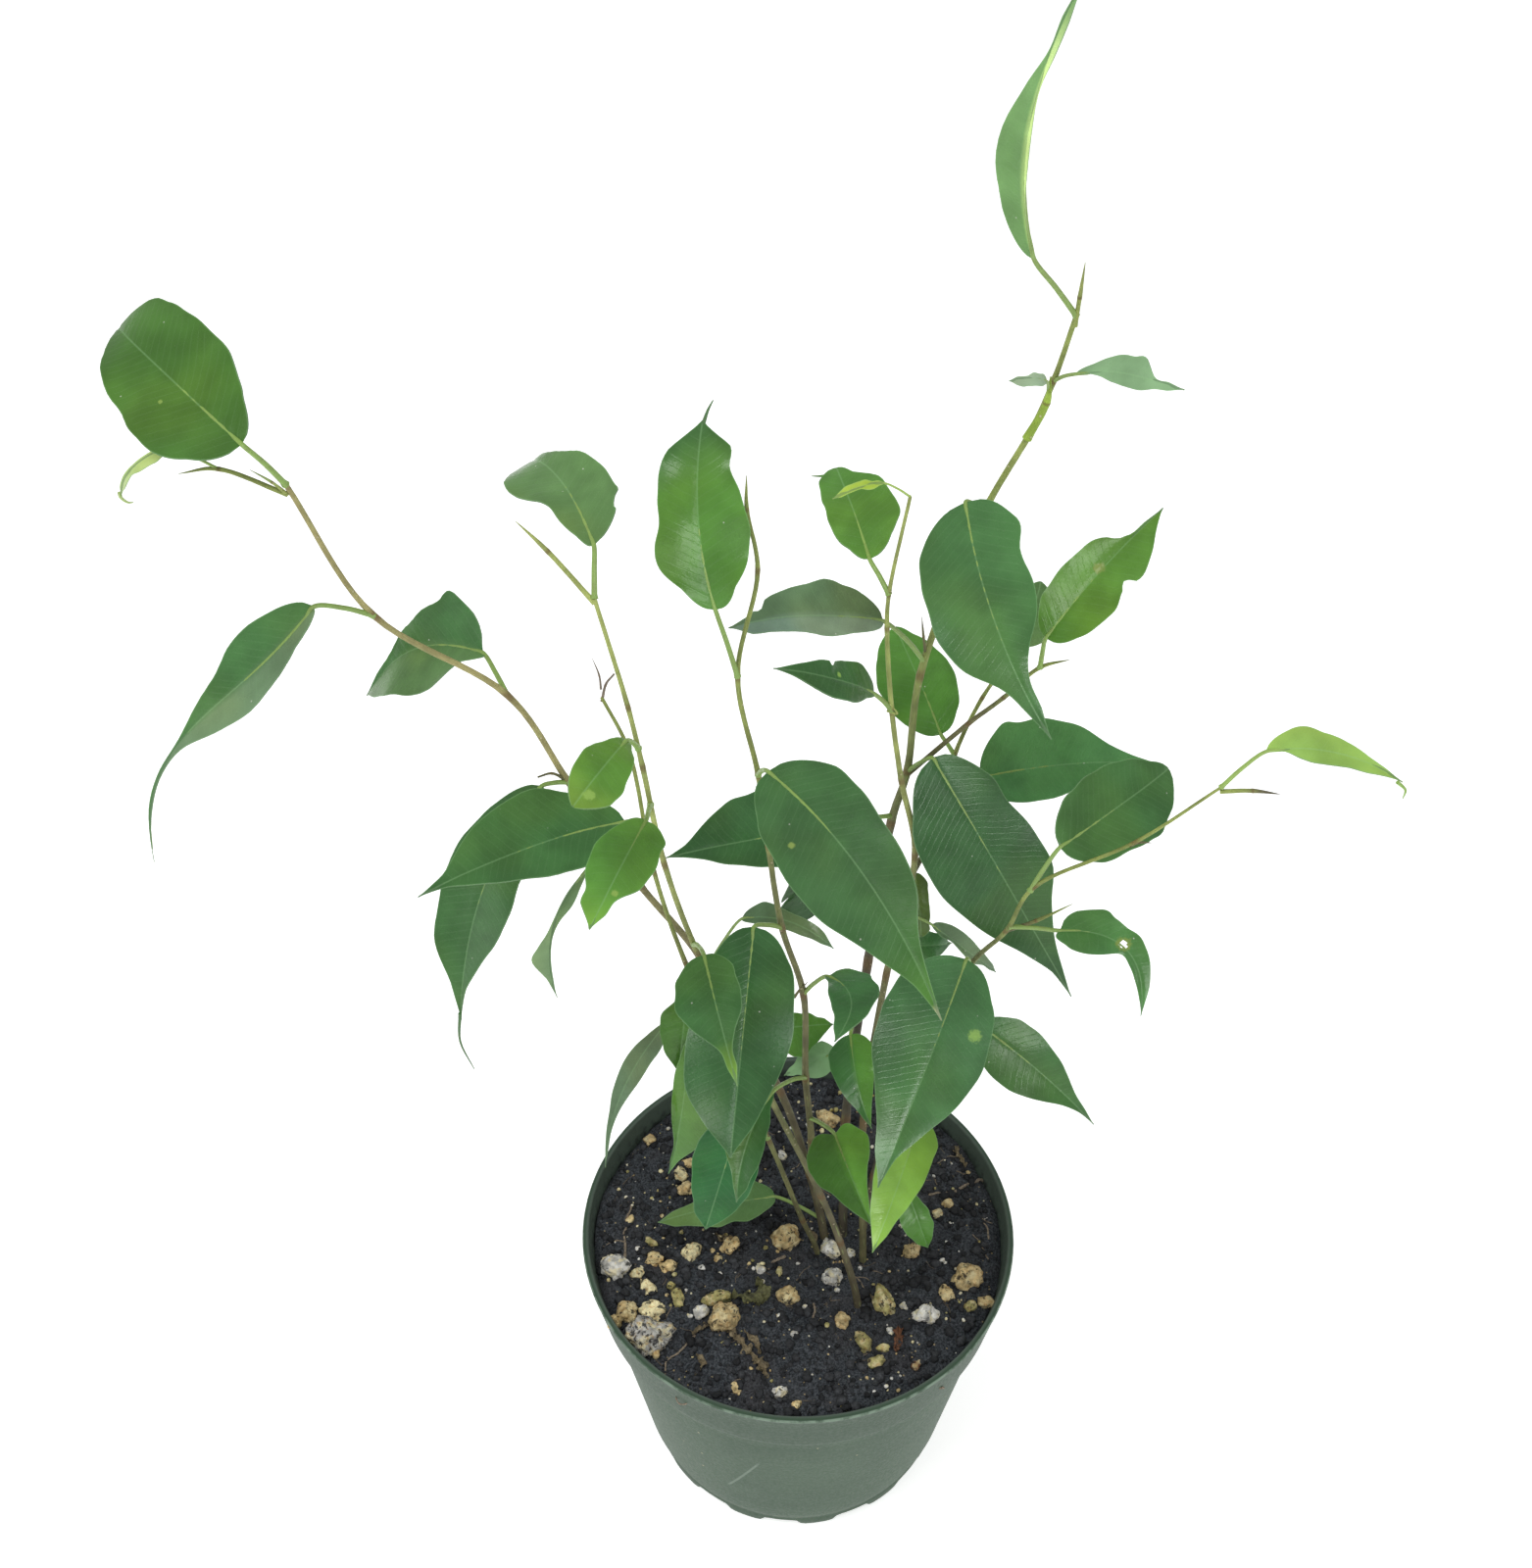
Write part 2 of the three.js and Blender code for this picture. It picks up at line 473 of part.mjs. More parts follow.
function potSolid() {
  const rimBottom = POT_HEIGHT - RIM_DEPTH;
  const rimFoot = RIM_RADIUS - RIM_TAPER;
  const wallTop = rimFoot - RIM_STEP;
  const profile = [
    [0, 0], [BASE_RADIUS, 0], [wallTop, rimBottom - RIM_SHOULDER], [rimFoot, rimBottom],
    [RIM_RADIUS - LIP_DRAFT, POT_HEIGHT - 2 * LIP_ROUNDING], [RIM_RADIUS, POT_HEIGHT - LIP_ROUNDING],
    [RIM_RADIUS - LIP_ROUNDING, POT_HEIGHT], [RIM_RADIUS - WALL, POT_HEIGHT],
    [rimFoot - WALL, rimBottom + RIM_SHOULDER], [wallTop - WALL, rimBottom - RIM_SHOULDER],
    [BASE_RADIUS - WALL, FLOOR], [0, FLOOR],
  ].map(([r, z]) => new THREE.Vector2(r, z));
  let pot = solidOf(new THREE.LatheGeometry(profile, POT_SIDES).rotateX(Math.PI / 2));
  for (let i = 0; i < DRAIN_SLOTS; i++) {
    const angle = degrees(DRAIN_START + (360 * i) / DRAIN_SLOTS);
    const slot = new THREE.BoxGeometry(DRAIN_DEPTH, DRAIN_WIDTH, 2 * DRAIN_HEIGHT);
    slot.translate(BASE_RADIUS, 0, 0).rotateZ(angle);
    pot = pot.subtract(solidOf(slot));
  }
  return pot;
}

function soilHeight(x, y) {
  const swell = Math.sin(SWELL.x * x + SWELL.xStart) * Math.cos(SWELL.y * y + SWELL.yStart);
  const ripple = RIPPLE.share * Math.sin(RIPPLE.x * x + RIPPLE.y * y);
  return SOIL_LEVEL + (SOIL_RELIEF * (swell + ripple)) / (1 + RIPPLE.share);
}

function soilSolid(stems) {
  const rimBottom = POT_HEIGHT - RIM_DEPTH;
  const wallTop = RIM_RADIUS - RIM_TAPER - RIM_STEP;
  const clear = WALL + SOIL_GAP + FACET_ROOM;
  const rise = (SOIL_LEVEL - rimBottom) / RIM_DEPTH;
  const topRadius = RIM_RADIUS - RIM_TAPER * (1 - rise) - clear - 2 * FACET_ROOM;
  const profile = [
    [0, FLOOR + SOIL_GAP], [BASE_RADIUS - clear, FLOOR + SOIL_GAP],
    [wallTop - clear, rimBottom - 2 * RIM_SHOULDER],
  ];
  for (let i = SOIL_RINGS; i >= 0; i--) profile.push([(topRadius * i) / SOIL_RINGS, SOIL_LEVEL]);
  const points = profile.map(([r, z]) => new THREE.Vector2(r, z));
  const geometry = new THREE.LatheGeometry(points, SOIL_SIDES).rotateX(Math.PI / 2);
  const position = geometry.attributes.position;
  for (let i = 0; i < position.count; i++) {
    if (SOIL_LEVEL - position.getZ(i) > WELD) continue;
    position.setZ(i, soilHeight(position.getX(i), position.getY(i)));
  }
  let soil = solidOf(geometry);
  for (const { at: [x, y], size } of pebbles) {
    const pebble = new THREE.IcosahedronGeometry(size / 2);
    pebble.scale(...PEBBLE_SHAPE).rotateZ(x + y);
    pebble.translate(x, y, soilHeight(x, y) + PEBBLE_LIFT * size);
    soil = soil.add(solidOf(pebble));
  }
  for (const stem of stems) soil = soil.subtract(stemBar(stem, HOLE_GAP));
  return soil;
}

function shootSolid(stems) {
  const pieces = [];
  for (const stem of stems) {
    const curve = stemCurve(stem);
    pieces.push(stemBar(stem));
    for (const leaf of stem.leaves) pieces.push(petiole(leaf, curve), blade(leaf));
  }
  return pieces.reduce((whole, piece) => whole.add(piece));
}

const potPlastic = new THREE.MeshStandardMaterial({ color: 0x4c6656, roughness: 0.5, metalness: 0 });
const soilMix = new THREE.MeshStandardMaterial({ color: 0x24232a, roughness: 0.95, metalness: 0 });
const leafGreen = new THREE.MeshStandardMaterial({ color: 0x3f7a42, roughness: 0.4, metalness: 0 });

const fig = new THREE.Group();
const rootedStems = Object.values(shoots).flat().filter((stem) => stem.rooted);
fig.add(meshOf("pot", potSolid(), potPlastic));
fig.add(meshOf("soil", soilSolid(rootedStems), soilMix));
for (const [name, stems] of Object.entries(shoots)) {
  fig.add(meshOf(name, shootSolid(stems), leafGreen.clone()));
}

export default fig;
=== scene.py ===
import math
import random

import bmesh
import bpy
import numpy as np
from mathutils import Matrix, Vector, noise


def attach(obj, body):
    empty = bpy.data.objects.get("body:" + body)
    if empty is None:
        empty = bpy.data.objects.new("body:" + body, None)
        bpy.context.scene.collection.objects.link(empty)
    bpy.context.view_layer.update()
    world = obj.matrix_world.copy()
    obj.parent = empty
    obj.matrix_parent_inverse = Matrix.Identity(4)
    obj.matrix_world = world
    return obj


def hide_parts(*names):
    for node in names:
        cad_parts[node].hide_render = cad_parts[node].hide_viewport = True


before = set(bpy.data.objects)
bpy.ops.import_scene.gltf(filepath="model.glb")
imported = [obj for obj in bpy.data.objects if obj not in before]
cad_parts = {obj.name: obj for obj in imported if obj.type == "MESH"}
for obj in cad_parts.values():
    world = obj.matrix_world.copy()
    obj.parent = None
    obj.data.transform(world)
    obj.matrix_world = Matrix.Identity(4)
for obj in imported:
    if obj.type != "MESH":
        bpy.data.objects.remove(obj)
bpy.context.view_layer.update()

MM = 0.001
random.seed(7)

# Pot
POT_HEIGHT = 82
RIM_RADIUS = 57
RIM_DEPTH = 17
RIM_TAPER = 3
RIM_STEP = 2
RIM_BOTTOM = POT_HEIGHT - RIM_DEPTH
BASE_RADIUS = 42
WALL = 1.6
POT_FLOOR = 2.5
POT_SIDES = 208
OUT_OF_ROUND = 0.12
DRAIN_SLOTS = 13
DRAIN_PHASE = 264
DRAIN_SHARE = 0.5
DRAIN_HEIGHT = 2.2
DRAIN_TOP = 4
DRAIN_SHARPNESS = 60
# Steps out from the base's radius, the rim's foot and the rim's radius, and up from the base, the
# rim's bottom and the top
BASE_EDGE = [(-6, 0.7), (-3, 0.5), (-2.4, 0), (-0.8, 0), (-0.2, 0.3), (0, 1), (0.3, 2.4), (0.35, 4),
             (0.3, 5), (1, 6.6)]
FOOT_EDGE = [(-0.5, -0.3), (-0.05, 0.2), (0.15, 0.9)]
LIP_EDGE = [(-0.15, -1.1), (0, -0.7), (-0.15, -0.2), (-0.6, 0)]
# A scratch on the wall: the x and height of its lower end, and its direction
SCRATCH_FOOT = (-19, 22)
SCRATCH_RUN = (0.34, 0.94)

# Soil
SOIL_LEVEL = POT_HEIGHT - 5
SOIL_RELIEF = 1.3
SOIL_RINGS = 84
SOIL_SIDES = 200
SOIL_RADIUS = 54.1
# The hidden body under the surface, as radii and heights
SOIL_BODY = [(50, 62), (40, 3)]
CRUMBS = 2600
SPECKS = 420
FINE_ROOTS = 90
LARGE_PEBBLE = 4
LARGEST_PEBBLE = 9

# Leaves and stems
LIGHT = np.array([0, -0.77, 0.64])
BLADE_THICKNESS = 0.32
BLADE_STEPS = 46
BLADE_FOLD = 8
ACROSS = np.array([0, 0.035, 0.09, 0.18, 0.3, 0.43, 0.56, 0.69, 0.81, 0.91, 1])
BASE_ROUNDING = 0.42
TIP_SHARPNESS = 1.1
CURL_START = 0.7
LOBE_END = 0.2
VEIN_SPACING = 2.6
VEIN_SLANT = 0.6
LEAF_GLOSS = 0.22
GLOSSY_LEAF = 0.36
NO_SPOT = 9.0
PETIOLE_RADIUS = 0.5
PETIOLE_BEND = 0.05
PETIOLE_RISE = 0.03
RIB_STEPS = 20
ROOTED_DEPTH = 19
STEM_STEPS = 10
STEM_SIDES = 14
STEM_TAPER = 0.7

# Colours, red, green and blue from 0 to 255
TONES = {
    "dark": (58, 98, 56), "mid": (68, 112, 62), "grass": (86, 136, 58), "fresh": (98, 148, 60),
    "lime": (128, 172, 72), "frost": (122, 148, 128), "bright": (172, 204, 78), "young": (148, 188, 92),
    "pale": (176, 200, 124), "grey": (98, 126, 92), "olive": (86, 110, 56), "teal": (40, 100, 50),
    "sage": (92, 128, 76), "leaf green": (70, 110, 48), "vein": (152, 196, 140), "straw": (206, 196, 160),
    "brown": (112, 84, 52), "old bark": (110, 103, 78), "bark": (118, 115, 78), "green bark": (156, 170, 92),
    "young bark": (176, 188, 108), "plum bark": (96, 91, 74), "peat": (40, 41, 43), "root": (150, 136, 118),
    "dry": (128, 116, 92), "algae": (104, 104, 72), "chip": (120, 84, 62), "moss": (176, 168, 112),
    "cream": (246, 234, 186), "tan": (218, 194, 142), "white": (232, 230, 222),
}
# Linear colours of the pot and the peat
POT_DARK = (0.052, 0.093, 0.057, 1)
POT_LIGHT = (0.064, 0.109, 0.068, 1)
POT_RIM = (0.048, 0.085, 0.053, 1)
# The inside of the pot is the same plastic painted lighter: painted light that lifts the shade inside the
# rim
POT_INSIDE_PAINTED_LIGHT = (0.09, 0.12, 0.097, 1)
POT_LINES = (0.2, 0.28, 0.2, 1)
# Pale lip edges: partly rubbed wear, partly a painted highlight on the lip's top
POT_LIP_WEAR_AND_HIGHLIGHT = (0.3, 0.4, 0.31, 1)
POT_SCRATCH = (0.3, 0.38, 0.31, 1)
PEAT_WET = (0.016, 0.02, 0.024, 1)
PEAT_DRY = (0.135, 0.148, 0.166, 1)
PEAT_BROWN = (0.07, 0.06, 0.06, 1)


def linear(tone):
    """A tone's linear colour."""
    shares = [c / 255 for c in TONES[tone]]
    return np.array([c / 12.92 if c <= 0.04045 else ((c + 0.055) / 1.055) ** 2.4 for c in shares])


def unit(v):
    return v / np.linalg.norm(v)


# Shapes
class Shape:
    """Points, faces and values at the points, gathered for one piece."""

    def __init__(self):
        self.points, self.faces, self.kinds, self.values = [], [], [], {}
        self.count = 0

    def add(self, points, faces, kind=0, **values):
        self.points.append(points)
        self.faces += [tuple(i + self.count for i in face) for face in faces]
        self.kinds += [kind] * len(faces) if isinstance(kind, int) else kind
        for name, value in values.items():
            value = np.broadcast_to(np.asarray(value, float), (len(points), 3))
            self.values.setdefault(name, []).append(value)
        self.count += len(points)

    def piece(self, name, materials, slot, replaced=(), crease=50):
        mesh = bpy.data.meshes.new(name)
        mesh.from_pydata((np.concatenate(self.points) * MM).tolist(), [], self.faces)
        mesh.polygons.foreach_set("material_index", self.kinds)
        mesh.polygons.foreach_set("use_smooth", [True] * len(self.faces))
        for title, parts in self.values.items():
            held = mesh.attributes.new(title, "FLOAT_VECTOR", "POINT")
            held.data.foreach_set("vector", np.concatenate(parts).ravel().astype(np.float32))
        for material in materials:
            mesh.materials.append(material)
        mesh.validate()
        mesh.set_sharp_from_angle(angle=math.radians(crease))
        piece = bpy.data.objects.new(name, mesh)
        bpy.context.scene.collection.objects.link(piece)
        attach(piece, "root")
        if replaced:
            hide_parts(*replaced)


def circle(sides, radius=1.0, start=0.0):
    """Points round a circle: each one's x, y and angle."""
    angles = [2 * math.pi * (k + start) / sides for k in range(sides)]
    return [(radius * math.cos(angle), radius * math.sin(angle), angle) for angle in angles]


def ring_faces(rings, sides, first=0):
    """The faces between rings of points that follow one another."""
    faces = []
    for i in range(rings - 1):
        for k in range(sides):
            a, b = first + i * sides + k, first + i * sides + (k + 1) % sides
            faces.append((a, b, b + sides, a + sides))
    return faces


def closed_faces(rings, sides):
    """The same, with a face over the first ring and over the last."""
    last = (rings - 1) * sides
    return ring_faces(rings, sides) + [tuple(range(sides))[::-1], tuple(range(last, last + sides))]


def node_curve(nodes, steps):
    """A smooth centripetal curve through its nodes, with steps points from each to the next."""
    p = [np.asarray(node, float) for node in nodes]
    p = [2 * p[0] - p[1], *p, 2 * p[-1] - p[-2]]
    line = []
    for x0, x1, x2, x3 in zip(p, p[1:], p[2:], p[3:]):
        d0, d1, d2 = (math.sqrt(np.linalg.norm(b - a)) for a, b in ((x0, x1), (x1, x2), (x2, x3)))
        t1 = ((x1 - x0) / d0 - (x2 - x0) / (d0 + d1) + (x2 - x1) / d1) * d1
        t2 = ((x2 - x1) / d1 - (x3 - x1) / (d1 + d2) + (x3 - x2) / d2) * d1
        for w in np.arange(steps) / steps:
            cubic = (2 * x1 - 2 * x2 + t1 + t2) * w**3 + (-3 * x1 + 3 * x2 - 2 * t1 - t2) * w**2
            line.append(cubic + t1 * w + x1)
    return np.array([*line, p[-2]])


def rough(point, scale):
    """Smooth noise from -1 to 1 at a point in millimetres, with features of about scale."""
    return noise.noise(Vector(point) / scale)


def tube(line, radii, sides, ripple=0.0):
    """A closed round bar along a line: its points and faces, and each point's way along it."""
    way = np.concatenate([[0], np.cumsum(np.linalg.norm(np.diff(line, axis=0), axis=1))])
    heading = np.gradient(line, axis=0)
    across = unit(np.cross(heading[0], [0.3, 0.9, 0.2]))
    points, place = [], []
    for i, middle in enumerate(line):
        forward = unit(heading[i])
        across = unit(across - forward * across.dot(forward))
        other = np.cross(forward, across)
        for x, y, angle in circle(sides):
            out = across * x + other * y
            points.append(middle + out * radii[i] * (1 + ripple * rough(middle + out * 3, 2.2)))
            place.append((way[i], angle, 0))
    return np.array(points), closed_faces(len(line), sides), np.array(place)


# Leaves
def half_width(leaf, t, s):
    """Half the blade's width. left and right hold it at each eighth of the length but the ends.
    The base is round, and the tip runs to a point."""
    at = np.clip(8 * t, 1.0, 6.9999)
    i = at.astype(int)
    w = at - i
    ends = np.clip(8 * t, 0.002, 1) ** BASE_ROUNDING
    ends = ends * np.clip(8 * (1 - t), 0.02, 1) ** leaf.get("sharp", TIP_SHARPNESS)
    halves = []
    for side in ("left", "right"):
        values = np.array([0, *leaf[side], 0], float)
        v0, v1, v2, v3 = (values[i + k] for k in (-1, 0, 1, 2))
        square, cube = 2 * v0 - 5 * v1 + 4 * v2 - v3, 3 * v1 - v0 - 3 * v2 + v3
        smooth = v1 + w * (v2 - v0 + w * (square + w * cube)) / 2
        halves.append(np.maximum(np.maximum(smooth, 0.3) * ends, 0.12))
    return np.where(s < 0, *halves)


def notched(leaf, t, s):
    """How much of the half width is left where the edge was bitten or never grew."""
    left = np.ones(np.broadcast(t, s).shape)
    for at, hand, depth, length in leaf.get("notches", []):
        left = left - depth * np.exp(-(((t - at) / length) ** 4)) * (np.sign(s) == hand)
    return left


def blade_points(leaf, t, s, seed):
    """A blade's points at shares t of its length and s of its half width, the up directions
    there, and the half widths."""
    base = np.array(leaf["base"], float)
    chord = leaf["tip"] - base
    length = np.linalg.norm(chord)
    along = chord / length
    facing = unit(LIGHT - along * LIGHT.dot(along))
    roll = np.radians(leaf.get("turn", 0) + leaf.get("twist", 0) * (t - 0.5))
    up = facing * np.cos(roll) + np.cross(along, facing) * np.sin(roll)
    side = np.cross(along, up)
    bulge = 4 * t * (1 - t)
    uneven = 1 + 0.025 * np.sin(9 * t + seed) * bulge
    uneven = uneven + 0.012 * np.sin(31 * t + 2.3 * seed + 2 * np.sign(s))
    half = half_width(leaf, t, s) * uneven * notched(leaf, t, s)
    reach = s * half
    fold = math.radians(leaf.get("fold", BLADE_FOLD))
    soft = 0.5 + 0.22 * half
    creased = np.sqrt(reach**2 + soft**2) - soft
    phase = np.where(s > 0, 0, 1.3)
    wide = np.minimum((half_width(leaf, t, -1) + half_width(leaf, t, 1)) / 12, 1)
    waves = leaf.get("wave", 0) * np.sin(5 * math.pi * t + phase) * s**2
    waves = waves + 0.5 * wide * np.sin(13 * t + seed + 2 * phase) * s**2
    waves = waves + 0.35 * wide * np.sin(5 * t + 1.7 * seed + 2.5 * s)
    vein_way = (t * length - VEIN_SLANT * np.abs(reach)) / VEIN_SPACING
    veins = 0.05 * wide * np.sin(2 * math.pi * vein_way)
    curled = np.maximum(0, t - CURL_START) / (1 - CURL_START)
    lift = (leaf.get("arch", 2) + waves) * bulge + veins - leaf.get("curl", 0) * curled**2
    bow = t ** (math.log(0.5) / math.log(leaf.get("bend_at", 0.5)))
    swept = leaf.get("sweep", 0) * 4 * bow * (1 - bow)
    lobes = np.where(s < 0, *leaf.get("heart", (0, 0))) * np.abs(s) ** 1.5
    lobes = lobes * np.clip(1 - t / LOBE_END, 0, 1) ** 2 * np.clip(20 * t, 0, 1) ** 0.5
    points = base + chord * t - along * lobes + side * (reach * math.cos(fold) + swept)
    points = points + up * (creased * math.sin(fold) + lift)
    return points, np.broadcast_to(up, points.shape), half


def off_mark(leaf, mark, place, length):
    """How far each place on a blade is from a mark on it, in sizes of the mark."""
    at, aside, size = leaf[mark][:3]
    return (place[:, :2] - [at * length, aside * leaf["width"] / 2]) / size


def blade_tint(leaf, t, s):
    """The blade's colour: one tone that turns to another towards the tip or on one side."""
    tint = linear(leaf["tone"]) * np.ones((len(t), 3))
    shares = {"left_tone": 0.5 - 3 * s, "right_tone": 0.5 + 3 * s, "tip_tone": (t - 0.68) / 0.25,
              "end_tone": (t - 0.955) / 0.02}
    for kind, share in shares.items():
        if kind in leaf:
            share = np.clip(share, 0, 1)
            tint = tint * (1 - share) + linear(leaf[kind]) * share
    return tint * leaf.get("shade", 1)


def add_leaf(shape, leaf, stem_line, seed):
    """A petiole, a blade with an upper and a lower face, and the midrib under it."""
    length = np.linalg.norm(np.array(leaf["tip"], float) - leaf["base"])
    t = np.linspace(0, 1, BLADE_STEPS + 1) ** 1.25
    s = np.concatenate([-ACROSS[:0:-1], ACROSS])
    t_grid, s_grid = (g.ravel()[:, None] for g in np.meshgrid(t, s, indexing="ij"))
    points, up, half = blade_points(leaf, t_grid, s_grid, seed)
    groove = 0.16 * np.exp(-((s_grid * half / 0.5) ** 2))
    thin = BLADE_THICKNESS * np.clip(half / 2, 0.35, 1)
    place = np.hstack([t_grid * length, s_grid * half, (1 - np.abs(s_grid)) * half])
    spot = np.full(place.shape, NO_SPOT)
    if "spot" in leaf:
        spot[:, :2] = off_mark(leaf, "spot", place, length)
        spot[:, 2] = leaf["spot"][3]
    columns, rows, total = len(s), BLADE_STEPS, len(place)
    kept = np.ones((rows, columns - 1), bool)
    if "hole" in leaf:
        off = np.linalg.norm(off_mark(leaf, "hole", place, length), axis=1).reshape(rows + 1, columns)
        kept = (off[:-1, :-1] + off[1:, 1:]) / 2 > 1
    upper = 3 if leaf.get("glossy") else 0
    faces, kinds = [], []
    for i, k in zip(*np.nonzero(kept)):
        a = int(i) * columns + int(k)
        corners = (a, a + 1, a + columns + 1, a + columns)
        faces += [corners, tuple(total + c for c in corners[::-1])]
        kinds += [upper, 1]
        for j, (row, column) in enumerate(((i - 1, k), (i, k + 1), (i + 1, k), (i, k - 1))):
            if 0 <= row < rows and 0 <= column < columns - 1 and kept[row, column]:
                continue
            one, two = corners[j], corners[(j + 1) % 4]
            faces.append((two, one, total + one, total + two))
            kinds.append(1)
    used = np.zeros(2 * total, bool)
    used[[c for face in faces for c in face]] = True
    renamed = np.cumsum(used) - 1
    faces = [tuple(int(renamed[c]) for c in face) for face in faces]
    sheets = np.vstack([points + up * (thin / 2 - groove), points - up * (thin / 2)])
    values = {"place": place, "tint": blade_tint(leaf, t_grid, s_grid), "spot": spot}
    shape.add(sheets[used], faces, kinds, **{k: np.vstack([v, v])[used] for k, v in values.items()})
    add_stalk(shape, leaf, stem_line, length, seed)


def add_stalk(shape, leaf, stem_line, length, seed):
    """The petiole from the stem to the blade, which goes on as the midrib under the blade."""
    start = stem_line[np.argmin(np.abs(stem_line[:, 2] - leaf["height"]))]
    base = np.array(leaf["base"], float)
    t = np.linspace(2.5 / length, 0.97, RIB_STEPS)[:, None]
    rib, up, _ = blade_points(leaf, t, np.zeros((RIB_STEPS, 1)), seed)
    rib = rib - up * 0.28
    reach = np.linalg.norm(start - base)
    bend = base - unit(rib[0] - base) * PETIOLE_BEND * reach
    knee = (start + bend) / 2 + np.array([0, 0, PETIOLE_RISE * reach])
    stalk = node_curve([start, knee, base - up[0] * 0.15, rib[0]], 7)
    radii = np.concatenate([
        PETIOLE_RADIUS * np.linspace(1.15, 0.8, len(stalk)) * np.minimum(1, leaf["width"] / 12 + 0.25),
        np.linspace(0.42, 0.06, RIB_STEPS - 1) * min(1, leaf["width"] / 14),
    ])
    radii[0] *= 1.35
    points, faces, place = tube(np.vstack([stalk, rib[1:]]), radii, 8)
    tint = linear("green bark") * 0.3 + linear("young") * 0.4 + linear(leaf["tone"]) * 0.3
    shape.add(points, faces, 2, place=place, tint=tint, spot=NO_SPOT)
    tint = linear(leaf.get("tip_tone", leaf["tone"]))
    for hair in leaf.get("hairs", []):
        line = node_curve(hair, 5)
        points, faces, place = tube(line, np.linspace(0.42, 0.1, len(line)), 6)
        shape.add(points, faces, 2, place=place, tint=tint, spot=NO_SPOT)


def add_stem(shape, stem):
    """A stem with swollen nodes, a scar on each, and a pointed end where it has a spike. Returns the
    line that it follows."""
    x, y, _ = stem["route"][0]
    foot = [(x, y, SOIL_LEVEL - ROOTED_DEPTH)] if stem.get("rooted") else []
    line = node_curve(foot + stem["route"], STEM_STEPS)
    count = len(line)
    share = np.linspace(0, 1, count)
    radii = stem["thick"] / 2 + (stem["thin"] - stem["thick"]) / 2 * share**STEM_TAPER
    ring = np.zeros(count)
    for node in range(STEM_STEPS * (2 if foot else 1), count - 1, STEM_STEPS):
        ring = np.maximum(ring, np.exp(-(((np.arange(count) - node) / 0.9) ** 2)))
    radii = radii * (1 + 0.16 * ring)
    if stem.get("spike"):
        last = STEM_STEPS * (1 if len(stem["route"]) > 2 else 2)
        radii[-last:] = radii[-last] * np.linspace(1, 0.08, last) ** 0.8
    points, faces, place = tube(line, radii, STEM_SIDES, 0.07)
    place[:, 2] = np.repeat(ring, STEM_SIDES)
    low, high = (linear(tone) for tone in stem["bark"])
    ripe = np.clip((share - 0.25) / 0.5, 0, 1)
    blend = np.repeat(ripe**2 * (3 - 2 * ripe), STEM_SIDES)[:, None]
    shape.add(points, faces, 0, place=place, tint=low * (1 - blend) + high * blend)
    return line


